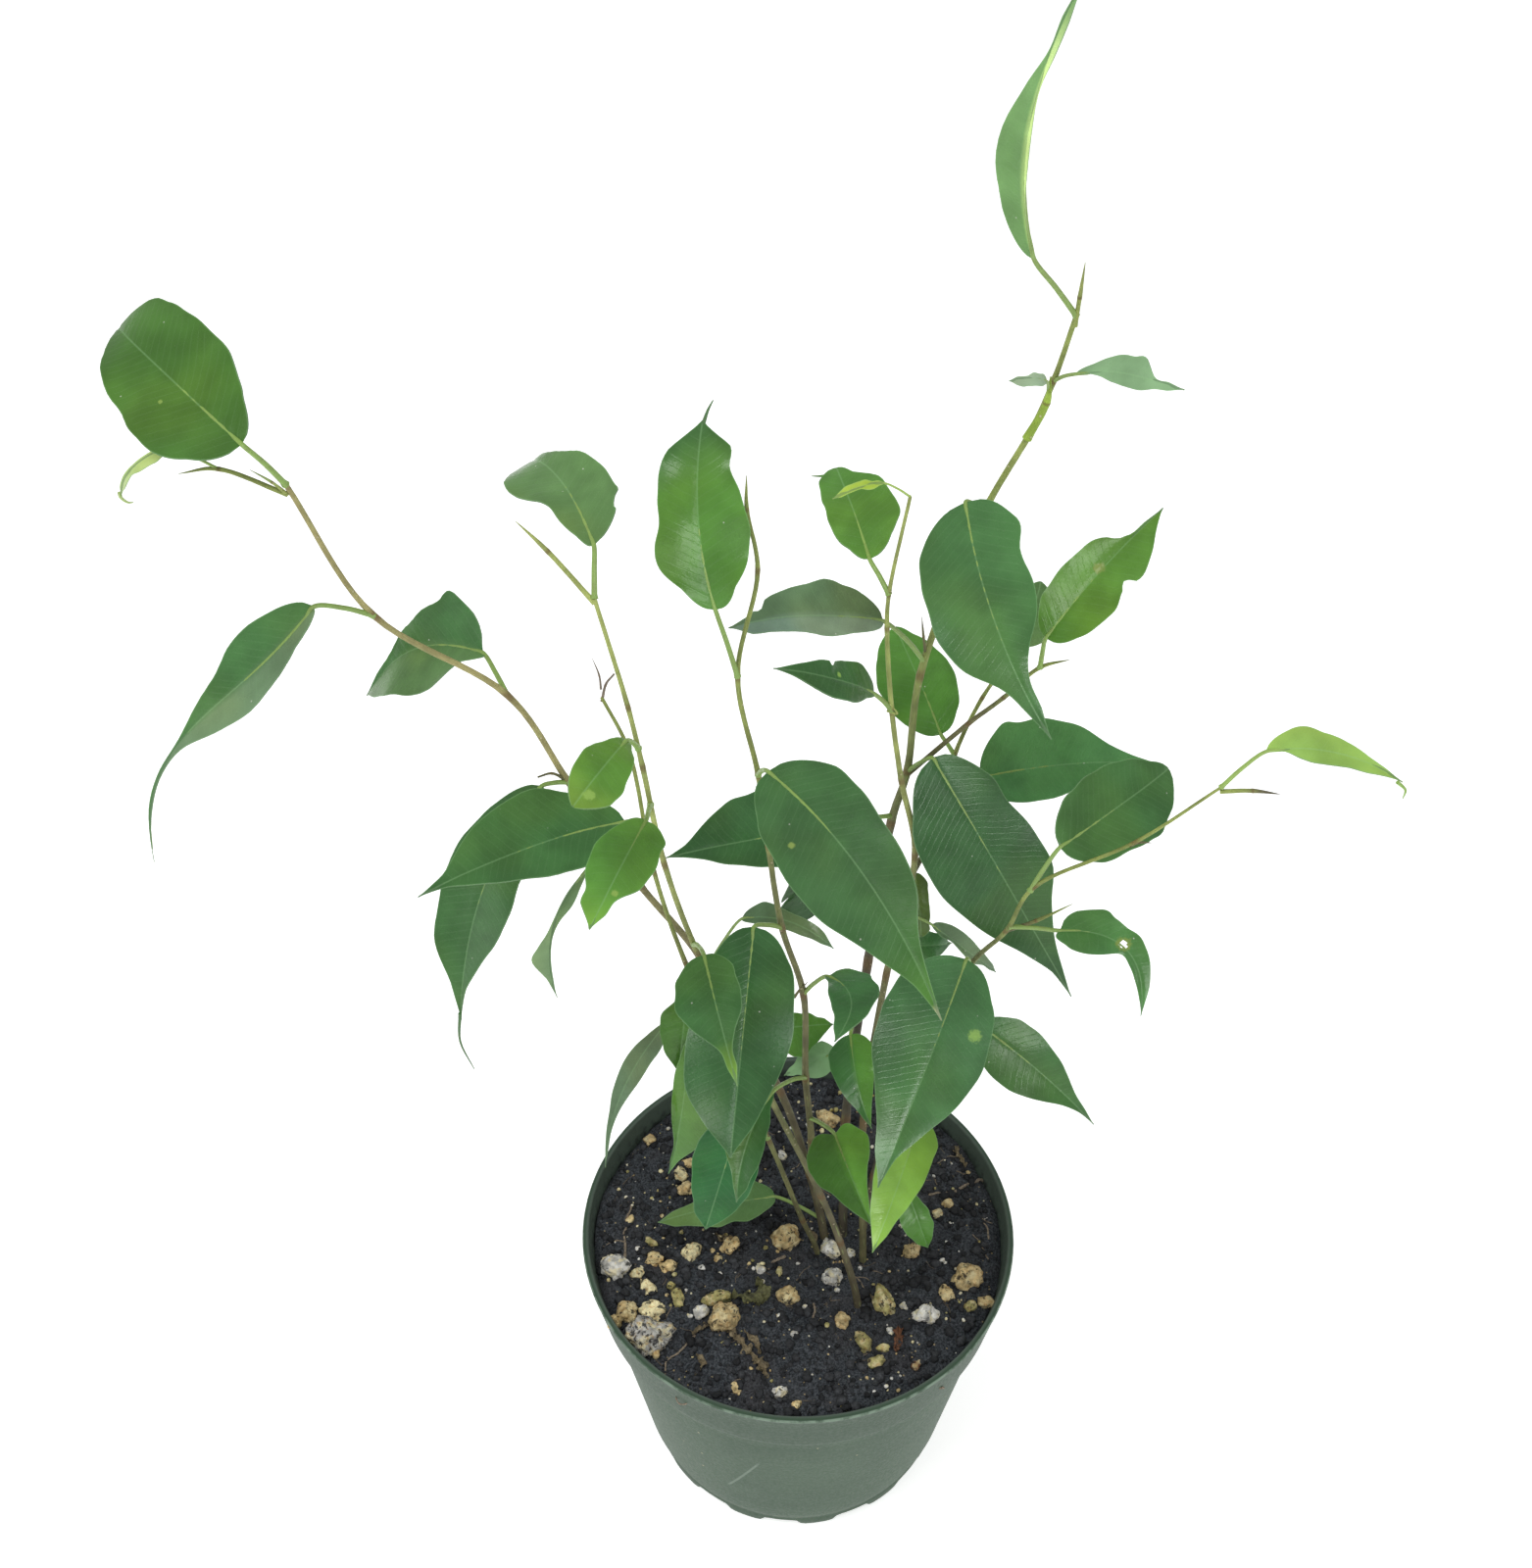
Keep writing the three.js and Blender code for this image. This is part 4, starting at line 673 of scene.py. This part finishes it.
# Materials
class Graph:
    """A material's nodes: the place on the object in millimetres, the colour so far, and short calls
    for what the surfaces share."""

    def __init__(self, name):
        self.material = bpy.data.materials.new(name)
        self.material.use_nodes = True
        self.tree = self.material.node_tree
        self.shader = self.tree.nodes["Principled BSDF"]
        self.place = self.scaled(self.node("TexCoord").outputs["Object"], 1 / MM)
        self.colour = None

    def node(self, kind, values=(), **settings):
        made = self.tree.nodes.new("ShaderNode" + kind)
        for key, value in settings.items():
            setattr(made, key, value)
        for key, value in dict(values).items():
            self.feed(made.inputs[key], value)
        return made

    def feed(self, socket, value):
        """Links a socket, or sets it to a number, a colour or the colour of a tone."""
        if isinstance(value, bpy.types.NodeSocket):
            self.tree.links.new(value, socket)
        else:
            socket.default_value = (*linear(value), 1) if isinstance(value, str) else value

    def math(self, operation, a, b=0.0):
        return self.node("Math", {0: a, 1: b}, operation=operation).outputs[0]

    def plus(self, a, b):
        return self.math("ADD", a, b)

    def minus(self, a, b):
        return self.math("SUBTRACT", a, b)

    def times(self, a, b):
        return self.math("MULTIPLY", a, b)

    def between(self, value, low, high, start=0.0, end=1.0):
        """Goes smoothly from start to end while value goes from low to high."""
        values = {"Value": value, "From Min": low, "From Max": high, "To Min": start, "To Max": end}
        return self.node("MapRange", values, interpolation_type="SMOOTHSTEP").outputs["Result"]

    def fade(self, value, low, high, start=1.0):
        return self.between(value, low, high, start, 0.0)

    def values(self, name):
        return self.node("Attribute", attribute_name=name).outputs["Vector"]

    def split(self, vector):
        return self.node("SeparateXYZ", {0: vector}).outputs

    def joined(self, x, y, z=0.0):
        return self.node("CombineXYZ", {0: x, 1: y, 2: z}).outputs[0]

    def scaled(self, vector, factor):
        return self.node("VectorMath", {0: vector, 3: factor}, operation="SCALE").outputs[0]

    def length(self, x, y):
        return self.node("VectorMath", {0: self.joined(x, y)}, operation="LENGTH").outputs["Value"]

    def noise(self, size, detail=3.0, roughness=0.55, at=None):
        place = self.place if at is None else at
        values = {"Vector": place, "Scale": 1 / size, "Detail": detail, "Roughness": roughness}
        return self.node("TexNoise", values).outputs["Fac"]

    def patches(self, size, detail, low, high, share):
        """Patches of a noise, with a share in their middle."""
        return self.between(self.noise(size, detail), low, high, 0, share)

    def dots(self, size, channel, rare, near, far):
        """Round dots, 1 in the middle, in the cells whose random colour is above rare."""
        cell = self.node("TexVoronoi", {"Vector": self.place, "Scale": 1 / size}).outputs
        picked = self.between(self.split(cell["Color"])[channel], *rare)
        return self.times(self.fade(cell["Distance"], near, far), picked)

    def mix(self, share, a, b, blend_type="MIX"):
        return self.node("Mix", {0: share, 6: a, 7: b}, data_type="RGBA", blend_type=blend_type).outputs[2]

    def paint(self, share, colour):
        """Lays a share of a colour over the colour so far."""
        self.colour = self.mix(share, self.colour, colour)

    def stained(self, red, green, blue):
        return self.mix(1.0, self.colour, (red, green, blue, 1), "MULTIPLY")

    def set(self, **values):
        for key, value in values.items():
            self.feed(self.shader.inputs[key.replace("_", " ").title().replace("Ior", "IOR")], value)

    def finish(self, grain, roughness, gloss, relief, depth):
        """The material, with a roughness that follows a noise, and a small relief."""
        self.set(base_color=self.colour, roughness=self.between(grain, 0.3, 0.7, *roughness),
                 specular_ior_level=gloss)
        values = {"Height": relief, "Distance": depth * MM, "Strength": 1.0}
        self.feed(self.shader.inputs["Normal"], self.node("Bump", values).outputs["Normal"])
        return self.material


def leaf_material(name, gloss, underside=False):
    g = Graph(name)
    along, across, edge = g.split(g.values("place"))
    aside = g.math("ABSOLUTE", across)
    blotches, fine = g.noise(9, 2), g.noise(0.7, 2)
    phase = g.plus(g.minus(along, g.times(aside, VEIN_SLANT)), g.times(blotches, 2.0))
    wave = g.math("PINGPONG", g.math("DIVIDE", phase, 1.7), 0.5)
    veins = g.times(g.fade(wave, 0, 0.13), g.between(edge, 0.5, 1.6))
    g.colour = g.scaled(g.values("tint"), g.between(blotches, 0.25, 0.75, 0.82, 1.2))
    g.paint(g.patches(22, 1, 0.42, 0.68, 0.55), g.stained(1.35, 1.08, 0.8))
    light = g.mix(0.5, g.colour, "vein")
    g.paint(g.times(veins, 0.3 if underside else 0.09), light)
    g.paint(g.fade(edge, 0.02, 0.28, 0.6), light)
    if underside:
        g.paint(0.62, "grey")
    else:
        g.paint(g.fade(aside, 0.05, 0.24, 0.48), light)
        g.paint(g.times(g.dots(3.2, 0, (0.72, 0.78), 0.035, 0.07), 0.55), "white")
    x, y, brown = g.split(g.values("spot"))
    reach = g.plus(g.length(x, y), g.times(g.minus(fine, 0.5), 1.2))
    g.paint(g.fade(reach, 0.55, 1.15, 0.85), g.mix(brown, "young", "brown"))
    relief = g.plus(g.times(veins, 0.4 if underside else -0.15), g.times(fine, 0.35))
    return g.finish(g.noise(5, 3), (0.5, 0.7) if underside else (0.2, 0.34), gloss, relief, 0.12)


def stalk_material():
    g = Graph("leaf_stalk")
    streak = g.noise(1.4, 3)
    g.colour = g.values("tint")
    g.paint(g.between(streak, 0.4, 0.7, 0, 0.25), "bark")
    return g.finish(streak, (0.4, 0.6), 0.5, g.noise(0.4, 2), 0.1)


def bark_material():
    g = Graph("bark")
    along, angle, ring = g.split(g.values("place"))
    tint = g.values("tint")
    turned = g.joined(g.math("DIVIDE", along, 7), angle)
    ridges = g.noise(0.35, 4, 0.65, turned)
    g.colour = g.scaled(tint, g.between(g.noise(6, 3), 0.3, 0.7, 0.66, 1.12))
    aged = g.between(g.split(tint)[1], 0.28, 0.42, 0.55, 0.12)
    g.paint(g.times(g.between(ridges, 0.48, 0.75), aged), "plum bark")
    g.paint(g.between(g.noise(0.8, 2, at=turned), 0.58, 0.75, 0, 0.5), "pale")
    g.paint(g.between(ring, 0.45, 0.95, 0, 0.65), "brown")
    lenticels = g.dots(1.7, 1, (0.6, 0.7), 0.1, 0.2)
    g.paint(g.times(lenticels, 0.6), "straw")
    return g.finish(ridges, (0.5, 0.75), 0.35, g.plus(ridges, g.times(lenticels, 0.4)), 0.3)


def pot_material():
    g = Graph("pot_plastic")
    x, y, z = g.split(g.place)
    inner = g.split(g.values("place"))[0]
    fine = g.noise(0.8, 4, 0.6)
    g.colour = g.mix(g.between(g.noise(26, 3), 0.3, 0.7), POT_DARK, POT_LIGHT)
    g.paint(g.between(z, RIM_BOTTOM - 1, RIM_BOTTOM + 1), POT_RIM)
    turned = g.joined(g.math("DIVIDE", x, 30), g.math("DIVIDE", y, 30), g.times(z, 1.6))
    lines = g.noise(1.2, 3, 0.7, turned)
    g.paint(g.between(lines, 0.62, 0.82, 0, 0.18), POT_LINES)
    # Thin pale lines along the lip's outer and inner edges, in patches: partly rubbed wear, partly a painted
    # highlight where the lip's top catches the light
    lip = g.between(z, POT_HEIGHT - 1.2, POT_HEIGHT - 0.6)
    lip_wear_and_highlight = g.times(g.between(g.noise(3, 3), 0.35, 0.6, 0.1, 0.6), lip)
    for edge in (RIM_RADIUS - 0.1, RIM_RADIUS - WALL + 0.15):
        off_edge = g.math("ABSOLUTE", g.minus(g.length(x, y), edge))
        g.paint(g.times(g.fade(off_edge, 0.12, 0.34), lip_wear_and_highlight), POT_LIP_WEAR_AND_HIGHLIGHT)
    across, upward = g.minus(x, SCRATCH_FOOT[0]), g.minus(z, SCRATCH_FOOT[1])
    run = g.plus(g.times(across, SCRATCH_RUN[0]), g.times(upward, SCRATCH_RUN[1]))
    off = g.minus(g.times(across, SCRATCH_RUN[1]), g.times(upward, SCRATCH_RUN[0]))
    scratch = g.times(g.fade(g.math("ABSOLUTE", off), 0.15, 0.5), g.between(run, 0, 4))
    scratch = g.times(scratch, g.times(g.fade(run, 23, 27), g.fade(y, -30, -20, 0.35)))
    g.paint(scratch, POT_SCRATCH)
    tall = g.node("VectorMath", {0: g.place, 1: (1, 1, 0.25)}, operation="MULTIPLY").outputs[0]
    g.paint(g.between(g.noise(2.2, 5, 0.7, tall), 0.69, 0.77, 0, 0.25), "straw")
    g.paint(g.times(g.dots(5, 0, (0.7, 0.75), 0.04, 0.08), 0.5), "straw")
    # The inner wall gets a lighter copy of the plastic: painted light lifting the shade inside the pot
    g.paint(g.times(inner, 0.9), POT_INSIDE_PAINTED_LIGHT)
    soiled = g.times(inner, g.between(g.noise(2.5, 4), 0.45, 0.62))
    g.paint(g.times(soiled, g.fade(z, SOIL_LEVEL - 3, SOIL_LEVEL + 4)), "peat")
    return g.finish(fine, (0.45, 0.6), 0.2, g.plus(g.times(fine, 0.5), lines), 0.06)


def soil_material():
    g = Graph("peat")
    crumb = g.noise(0.55, 5, 0.7)
    g.colour = g.mix(g.between(crumb, 0.35, 0.7), PEAT_WET, PEAT_DRY)
    g.paint(g.patches(12, 3, 0.45, 0.75, 0.5), PEAT_BROWN)
    g.paint(g.times(g.dots(1.3, 2, (0.88, 0.9), 0.12, 0.25), 0.6), "tan")
    return g.finish(crumb, (0.75, 0.95), 0.3, crumb, 0.9)


def pebble_material():
    """Rough grains whose own tone comes from the tint value. The place value says how pitted one is."""
    g = Graph("perlite")
    tint = g.values("tint")
    cloudy = g.noise(1.5, 5, 0.65)
    g.colour = g.scaled(tint, g.between(g.noise(1.6, 4), 0.3, 0.7, 0.55, 1.35))
    g.paint(g.patches(2.2, 3, 0.48, 0.62, 0.65), "cream")
    pale = g.between(g.split(tint)[2], 0.45, 0.65, 1, 0.15)
    g.paint(g.times(g.patches(1.1, 3, 0.52, 0.64, 0.65), pale), g.stained(0.62, 0.42, 0.24))
    pits = g.split(g.values("place"))[0]
    g.paint(g.fade(g.minus(cloudy, pits), 0.37, 0.43, 0.88), "peat")
    return g.finish(cloudy, (0.95, 0.7), 0.25, cloudy, 0.8)


def fibre_material(name, size):
    g = Graph(name)
    grain = g.noise(size, 5, 0.7)
    g.colour = g.scaled(g.values("tint"), g.between(grain, 0.3, 0.7, 0.45, 1.3))
    g.paint(g.patches(size * 3, 2, 0.5, 0.7, 0.5), "peat")
    return g.finish(grain, (0.7, 0.95), 0.25, grain, size * 0.4)


# Pot
def pot_piece():
    rim_foot = RIM_RADIUS - RIM_TAPER
    wall_top = rim_foot - RIM_STEP
    slope = (wall_top - BASE_RADIUS) / RIM_BOTTOM
    outer = [(BASE_RADIUS + out, z) for out, z in BASE_EDGE]
    outer += [(BASE_RADIUS + 0.5 + slope * z, z) for z in range(10, RIM_BOTTOM - 1, 6)]
    outer += [(wall_top, RIM_BOTTOM - 1.4), (wall_top + 0.3, RIM_BOTTOM - 0.9)]
    outer += [(rim_foot + out, RIM_BOTTOM + up) for out, up in FOOT_EDGE]
    flare, rise = RIM_TAPER - 0.55, RIM_DEPTH - 3
    outer += [(rim_foot + 0.15 + flare * k / 4, RIM_BOTTOM + 1 + rise * k / 4) for k in range(1, 5)]
    outer += [(RIM_RADIUS + out, POT_HEIGHT + up) for out, up in LIP_EDGE]
    inner = [(RIM_RADIUS + 0.3, POT_HEIGHT), (RIM_RADIUS, POT_HEIGHT - 0.3)]
    inner += [(rim_foot + 0.8, RIM_BOTTOM + 6), (rim_foot, RIM_BOTTOM + 1)]
    inner += [(wall_top, RIM_BOTTOM - 1), (BASE_RADIUS, POT_FLOOR)]
    profile = [(r, z, 0) for r, z in outer] + [(r - WALL, z, 1) for r, z in inner]
    points, place = [], []
    for r, z, inside in profile:
        for x, y, angle in circle(POT_SIDES):
            turn = (math.degrees(angle) - DRAIN_PHASE) * DRAIN_SLOTS / 360 % 1
            slot = 1 / (1 + math.exp(-DRAIN_SHARPNESS * (DRAIN_SHARE / 2 - min(turn, 1 - turn))))
            height = z
            if not inside and z < DRAIN_TOP and r > BASE_RADIUS - 4:
                height = z + slot * DRAIN_HEIGHT * (1 - z / DRAIN_TOP)
            plain = DRAIN_TOP < z < POT_HEIGHT - 2
            bulge = OUT_OF_ROUND * math.sin(3 * angle + 0.05 * z) if plain else 0
            points.append(((r + bulge) * x, (r + bulge) * y, height))
            place.append((inside, 0, 0))
    shape = Shape()
    shape.add(points, closed_faces(len(profile), POT_SIDES), place=place)
    shape.piece("pot_fine", [pot_material()], "pot_plastic", ["pot"], crease=32)


# Soil
def soil_height(x, y):
    swell = math.sin(0.11 * x + 0.7) * math.cos(0.13 * y - 0.4) + 0.5 * math.sin(0.29 * x - 0.21 * y)
    return SOIL_LEVEL + SOIL_RELIEF * swell / 1.5


def soil_top(x, y):
    """The soil's height with its clods."""
    clods = 0.55 * rough((x, y, 3), 5) + 0.5 * abs(rough((x, y, 9), 2.2)) + 0.3 * rough((x, y, 17), 1)
    shrink = max(0, math.hypot(x, y) - SOIL_RADIUS + 3) / 3
    return soil_height(x, y) + clods - 1.2 * shrink**2


def soil_piece():
    points = [(0, 0, soil_top(0, 0))]
    for i in range(1, SOIL_RINGS + 1):
        ring = circle(SOIL_SIDES, SOIL_RADIUS * i / SOIL_RINGS, 0.5 * (i % 2))
        points += [(x, y, soil_top(x, y)) for x, y, _ in ring]
    for radius, z in SOIL_BODY:
        points += [(x, y, z) for x, y, _ in circle(SOIL_SIDES, radius)]
    faces = [(0, 1 + k, 1 + (k + 1) % SOIL_SIDES) for k in range(SOIL_SIDES)]
    rings = ring_faces(SOIL_RINGS + len(SOIL_BODY), SOIL_SIDES, 1)
    faces += [(b, a, d, c) for a, b, c, d in rings]
    faces.append(tuple(range(len(points) - SOIL_SIDES, len(points)))[::-1])
    shape = Shape()
    shape.add(points, faces)
    shape.piece("soil_fine", [soil_material()], "soil_mix", ["soil"])


def ball(subdivisions):
    """A unit sphere's points and faces."""
    held = bmesh.new()
    bmesh.ops.create_icosphere(held, subdivisions=subdivisions, radius=1)
    points = np.array([corner.co[:] for corner in held.verts])
    faces = [tuple(corner.index for corner in face.verts) for face in held.faces]
    held.free()
    return points, faces


def lump(template, size, at, squash, jag, grain):
    """A rough lump: a ball pushed in and out, turned at random and set at a place."""
    points = template * size / 2
    seed = np.array([random.uniform(0, 99) for _ in range(3)])
    grain = grain * size
    push = [1 + jag * rough(p + seed, grain) + 0.4 * jag * rough(p + seed, 0.25 * grain) for p in points]
    points = points * np.array(push)[:, None] * np.array(squash)
    turn, tilt = random.uniform(0, 2 * math.pi), random.uniform(-0.5, 0.5)
    spin = np.array([[math.cos(turn), -math.sin(turn), 0], [math.sin(turn), math.cos(turn), 0], [0, 0, 1]])
    lean = np.array([[1, 0, 0], [0, math.cos(tilt), -math.sin(tilt)], [0, math.sin(tilt), math.cos(tilt)]])
    return points @ lean.T @ spin.T + np.array(at)


def random_place():
    radius, angle = (SOIL_RADIUS - 1.2) * math.sqrt(random.random()), random.uniform(0, 2 * math.pi)
    return radius * math.cos(angle), radius * math.sin(angle)


def crumb_piece():
    crumbs = Shape()
    template, faces = ball(1)
    for _ in range(CRUMBS):
        x, y = random_place()
        size = 0.9 + 2.6 * random.random() ** 3
        points = lump(template, size, (x, y, soil_top(x, y) + 0.1 * size), (1, 0.8, 0.7), 0.5, 0.5)
        crumbs.add(points, faces, tint=linear("peat") * random.uniform(0.9, 3.2))
    crumbs.piece("soil_crumbs", [fibre_material("crumb", 0.7)], "soil_mix", crease=180)


def pebble_piece():
    """The pebbles of the table, and small specks at random."""
    pebbles = Shape()
    for x, y, size, tone in PEBBLES:
        large, largest = size > LARGE_PEBBLE, size > LARGEST_PEBBLE
        template, faces = ball(4 if large else 3)
        squash = (1, 0.55, 0.5) if tone in ("moss", "chip") and size > 3 else (1, 0.84, 0.75)
        pits = 0.06 if largest else 0.02 if large and tone != "white" else 0
        points = lump(template, size * 1.05, (x, y, soil_height(x, y) + 0.2 * size), squash, 0.5, 0.45)
        shade = 0.6 if largest else random.uniform(0.8, 1.1)
        pebbles.add(points, faces, tint=linear(tone) * shade, place=(pits, 0, 0))
    template, faces = ball(2)
    for _ in range(SPECKS):
        x, y = random_place()
        size = 0.5 + 1.2 * random.random() ** 2.5
        tone = random.choice(("white", "white", "cream", "tan", "moss"))
        points = lump(template, size, (x, y, soil_top(x, y) + 0.25 * size), (1, 0.85, 0.7), 0.4, 0.6)
        pebbles.add(points, faces, tint=linear(tone), place=(-0.03, 0, 0))
    pebbles.piece("perlite", [pebble_material()], "soil_mix", crease=180)


def lie(places, lift):
    """A smooth line over the soil through some places, a little above it."""
    line = node_curve([(x, y, 0) for x, y in places], 8)
    for point in line:
        point[2] = soil_top(point[0], point[1]) + lift
    return line


def root_piece():
    roots = Shape()
    for places, thick in ROOTS:
        line = lie(places, thick * 0.3)
        line[:, :2] += [[rough((*p[:2], 5), 3) * 0.8, rough((*p[:2], 50), 3) * 0.8] for p in line]
        radii = thick / 2 * np.linspace(0.7, 1, len(line)) * (1 + 0.25 * np.sin(np.arange(len(line)) * 1.9))
        points, faces, _ = tube(line, radii, 8, 0.25)
        roots.add(points, faces, tint=linear("root"))
    for _ in range(FINE_ROOTS):
        x, y = random_place()
        angle, length = random.uniform(0, 2 * math.pi), random.uniform(2, 6)
        bend = random.uniform(-0.8, 0.8)
        ends = [(x, y)]
        for step in (0.5, 1):
            turned = angle + bend * step
            ends.append((x + length * step * math.cos(turned), y + length * step * math.sin(turned)))
        if max(math.hypot(*end) for end in ends) > SOIL_RADIUS - 1:
            continue
        line = lie(ends, 0.1)
        points, faces, _ = tube(line, np.full(len(line), random.uniform(0.06, 0.16)), 5, 0.2)
        roots.add(points, faces, tint=linear("root") * random.uniform(0.5, 1.1))
    roots.piece("roots", [fibre_material("root", 0.5)], "soil_mix")


def debris_piece():
    """Crumpled ribbons with upturned edges."""
    debris = Shape()
    shares = np.linspace(-1, 1, 13)
    for places, width, tone in DEBRIS:
        line = lie(places, 0.5)
        heading = np.gradient(line[:, :2], axis=0)
        aside = np.stack([-heading[:, 1], heading[:, 0], 0 * heading[:, 0]], 1)
        aside /= np.linalg.norm(aside, axis=1)[:, None]
        points = []
        for i, (point, out) in enumerate(zip(line, aside)):
            ragged = max(0.25, 0.7 + 1.1 * rough(point, 0.9))
            reach = width / 2 * math.sin(math.pi * (i + 0.5) / len(line)) ** 0.4 * ragged
            for s in shares:
                spot = point + out * reach * s * (1 + 0.4 * rough((i, 5 * np.sign(s), width), 2))
                crumple = 1.4 * rough(spot, 1.2) + 1.3 * abs(rough(spot, 0.5)) + 0.6 * s * s
                points.append(spot + np.array([0, 0, crumple]))
        grid = np.arange(len(points)).reshape(len(line), len(shares)).tolist()
        faces = []
        for one, two in zip(grid, grid[1:]):
            for a, b, c, d in zip(one, two, two[1:], one[1:]):
                faces += [(a, b, c, d), tuple(len(points) + corner for corner in (d, c, b, a))]
        edge = grid[0] + [row[-1] for row in grid[1:]] + grid[-1][-2::-1] + [row[0] for row in grid[-2:0:-1]]
        below = [len(points) + corner for corner in edge]
        faces += list(zip(edge, edge[1:] + edge[:1], below[1:] + below[:1], below))
        debris.add(np.vstack([points, points - np.array([0, 0, 0.25])]), faces, tint=linear(tone) * 1.25)
    debris.piece("dead_leaves", [fibre_material("dead_leaf", 0.8)], "soil_mix")


# The plant
def plant_pieces():
    bark = bark_material()
    leaf_looks = [
        leaf_material("leaf_upper", LEAF_GLOSS), leaf_material("leaf_under", LEAF_GLOSS, underside=True),
        stalk_material(), leaf_material("leaf_glossy", GLOSSY_LEAF),
    ]
    seed = 0
    for node, rows in SHOOTS.items():
        wood, foliage = Shape(), Shape()
        for row in rows:
            if "route" in row:
                line = add_stem(wood, row)
            else:
                seed += 1
                add_leaf(foliage, row, line, seed)
        wood.piece(node + "_stems", [bark], "leaf", [node])
        foliage.piece(node + "_leaves", leaf_looks, "leaf", [node])


pot_piece()
soil_piece()
crumb_piece()
pebble_piece()
root_piece()
debris_piece()
plant_pieces()

# Camera, floor and light, in metres and degrees, with the photograph's measures in pixels
CAMERA_PLACE = (-0.00843, -0.2606, 0.4489)
CAMERA_TILT = 39.69
PHOTO_HEIGHT = 1600
FOCAL_LENGTH = 1671
SENSOR = 36
FLOOR_SIZE = 12
FLOOR_LIGHT = 0.62
WORLD_LIGHT = 0.45

camera = bpy.data.objects.new("camera", bpy.data.cameras.new("camera"))
bpy.context.scene.collection.objects.link(camera)
camera.location = CAMERA_PLACE
camera.rotation_euler = (math.radians(90 - CAMERA_TILT), 0, 0)
camera.data.sensor_width = SENSOR
camera.data.lens = FOCAL_LENGTH * SENSOR / PHOTO_HEIGHT
camera.data.clip_start = 0.01
bpy.context.scene.camera = camera

corners = [(x * FLOOR_SIZE, y * FLOOR_SIZE, 0) for x, y in ((-1, -1), (1, -1), (1, 1), (-1, 1))]
floor_mesh = bpy.data.meshes.new("floor")
floor_mesh.from_pydata(corners, [], [(0, 1, 2, 3)])
floor = bpy.data.objects.new("floor", floor_mesh)
bpy.context.scene.collection.objects.link(floor)
look = Graph("floor")
grain = look.between(look.noise(40, 2), 0.3, 0.7)
look.set(base_color=look.mix(grain, (0.9, 0.9, 0.9, 1), (0.92, 0.92, 0.92, 1)), roughness=0.8,
         emission_color=(1, 1, 1, 1), emission_strength=FLOOR_LIGHT)
floor_mesh.materials.append(look.material)

world = bpy.data.worlds.new("studio")
world.use_nodes = True
world.node_tree.nodes["Background"].inputs["Color"].default_value = (1, 1, 1, 1)
world.node_tree.nodes["Background"].inputs["Strength"].default_value = WORLD_LIGHT
bpy.context.scene.world = world


def area_light(name, at, aim_height, size, power, gloss_only=False):
    """A round softbox. One lights the plant evenly, or else is only seen as a gloss on the leaves."""
    data = bpy.data.lights.new(name, "AREA")
    data.shape, data.size, data.energy = "DISK", size, power
    light = bpy.data.objects.new(name, data)
    light.location = at
    light.rotation_euler = (Vector((0, 0, aim_height)) - Vector(at)).to_track_quat("-Z", "Y").to_euler()
    light.visible_glossy = gloss_only
    light.visible_diffuse = not gloss_only
    bpy.context.scene.collection.objects.link(light)


area_light("key", (-0.5, -0.3, 1.5), 0.15, 0.9, 10)
area_light("fill", (0.9, -0.9, 1.1), 0.2, 1.2, 4)
area_light("window", (0.28, -0.77, 0.43), 0.2, 0.38, 3, gloss_only=True)
area_light("high_window", (-0.65, -0.41, 0.84), 0.2, 0.28, 0.3, gloss_only=True)
area_light("side_window", (-0.85, -0.36, 0.36), 0.2, 0.46, 0.5, gloss_only=True)

bpy.context.scene.view_settings.view_transform = "Standard"
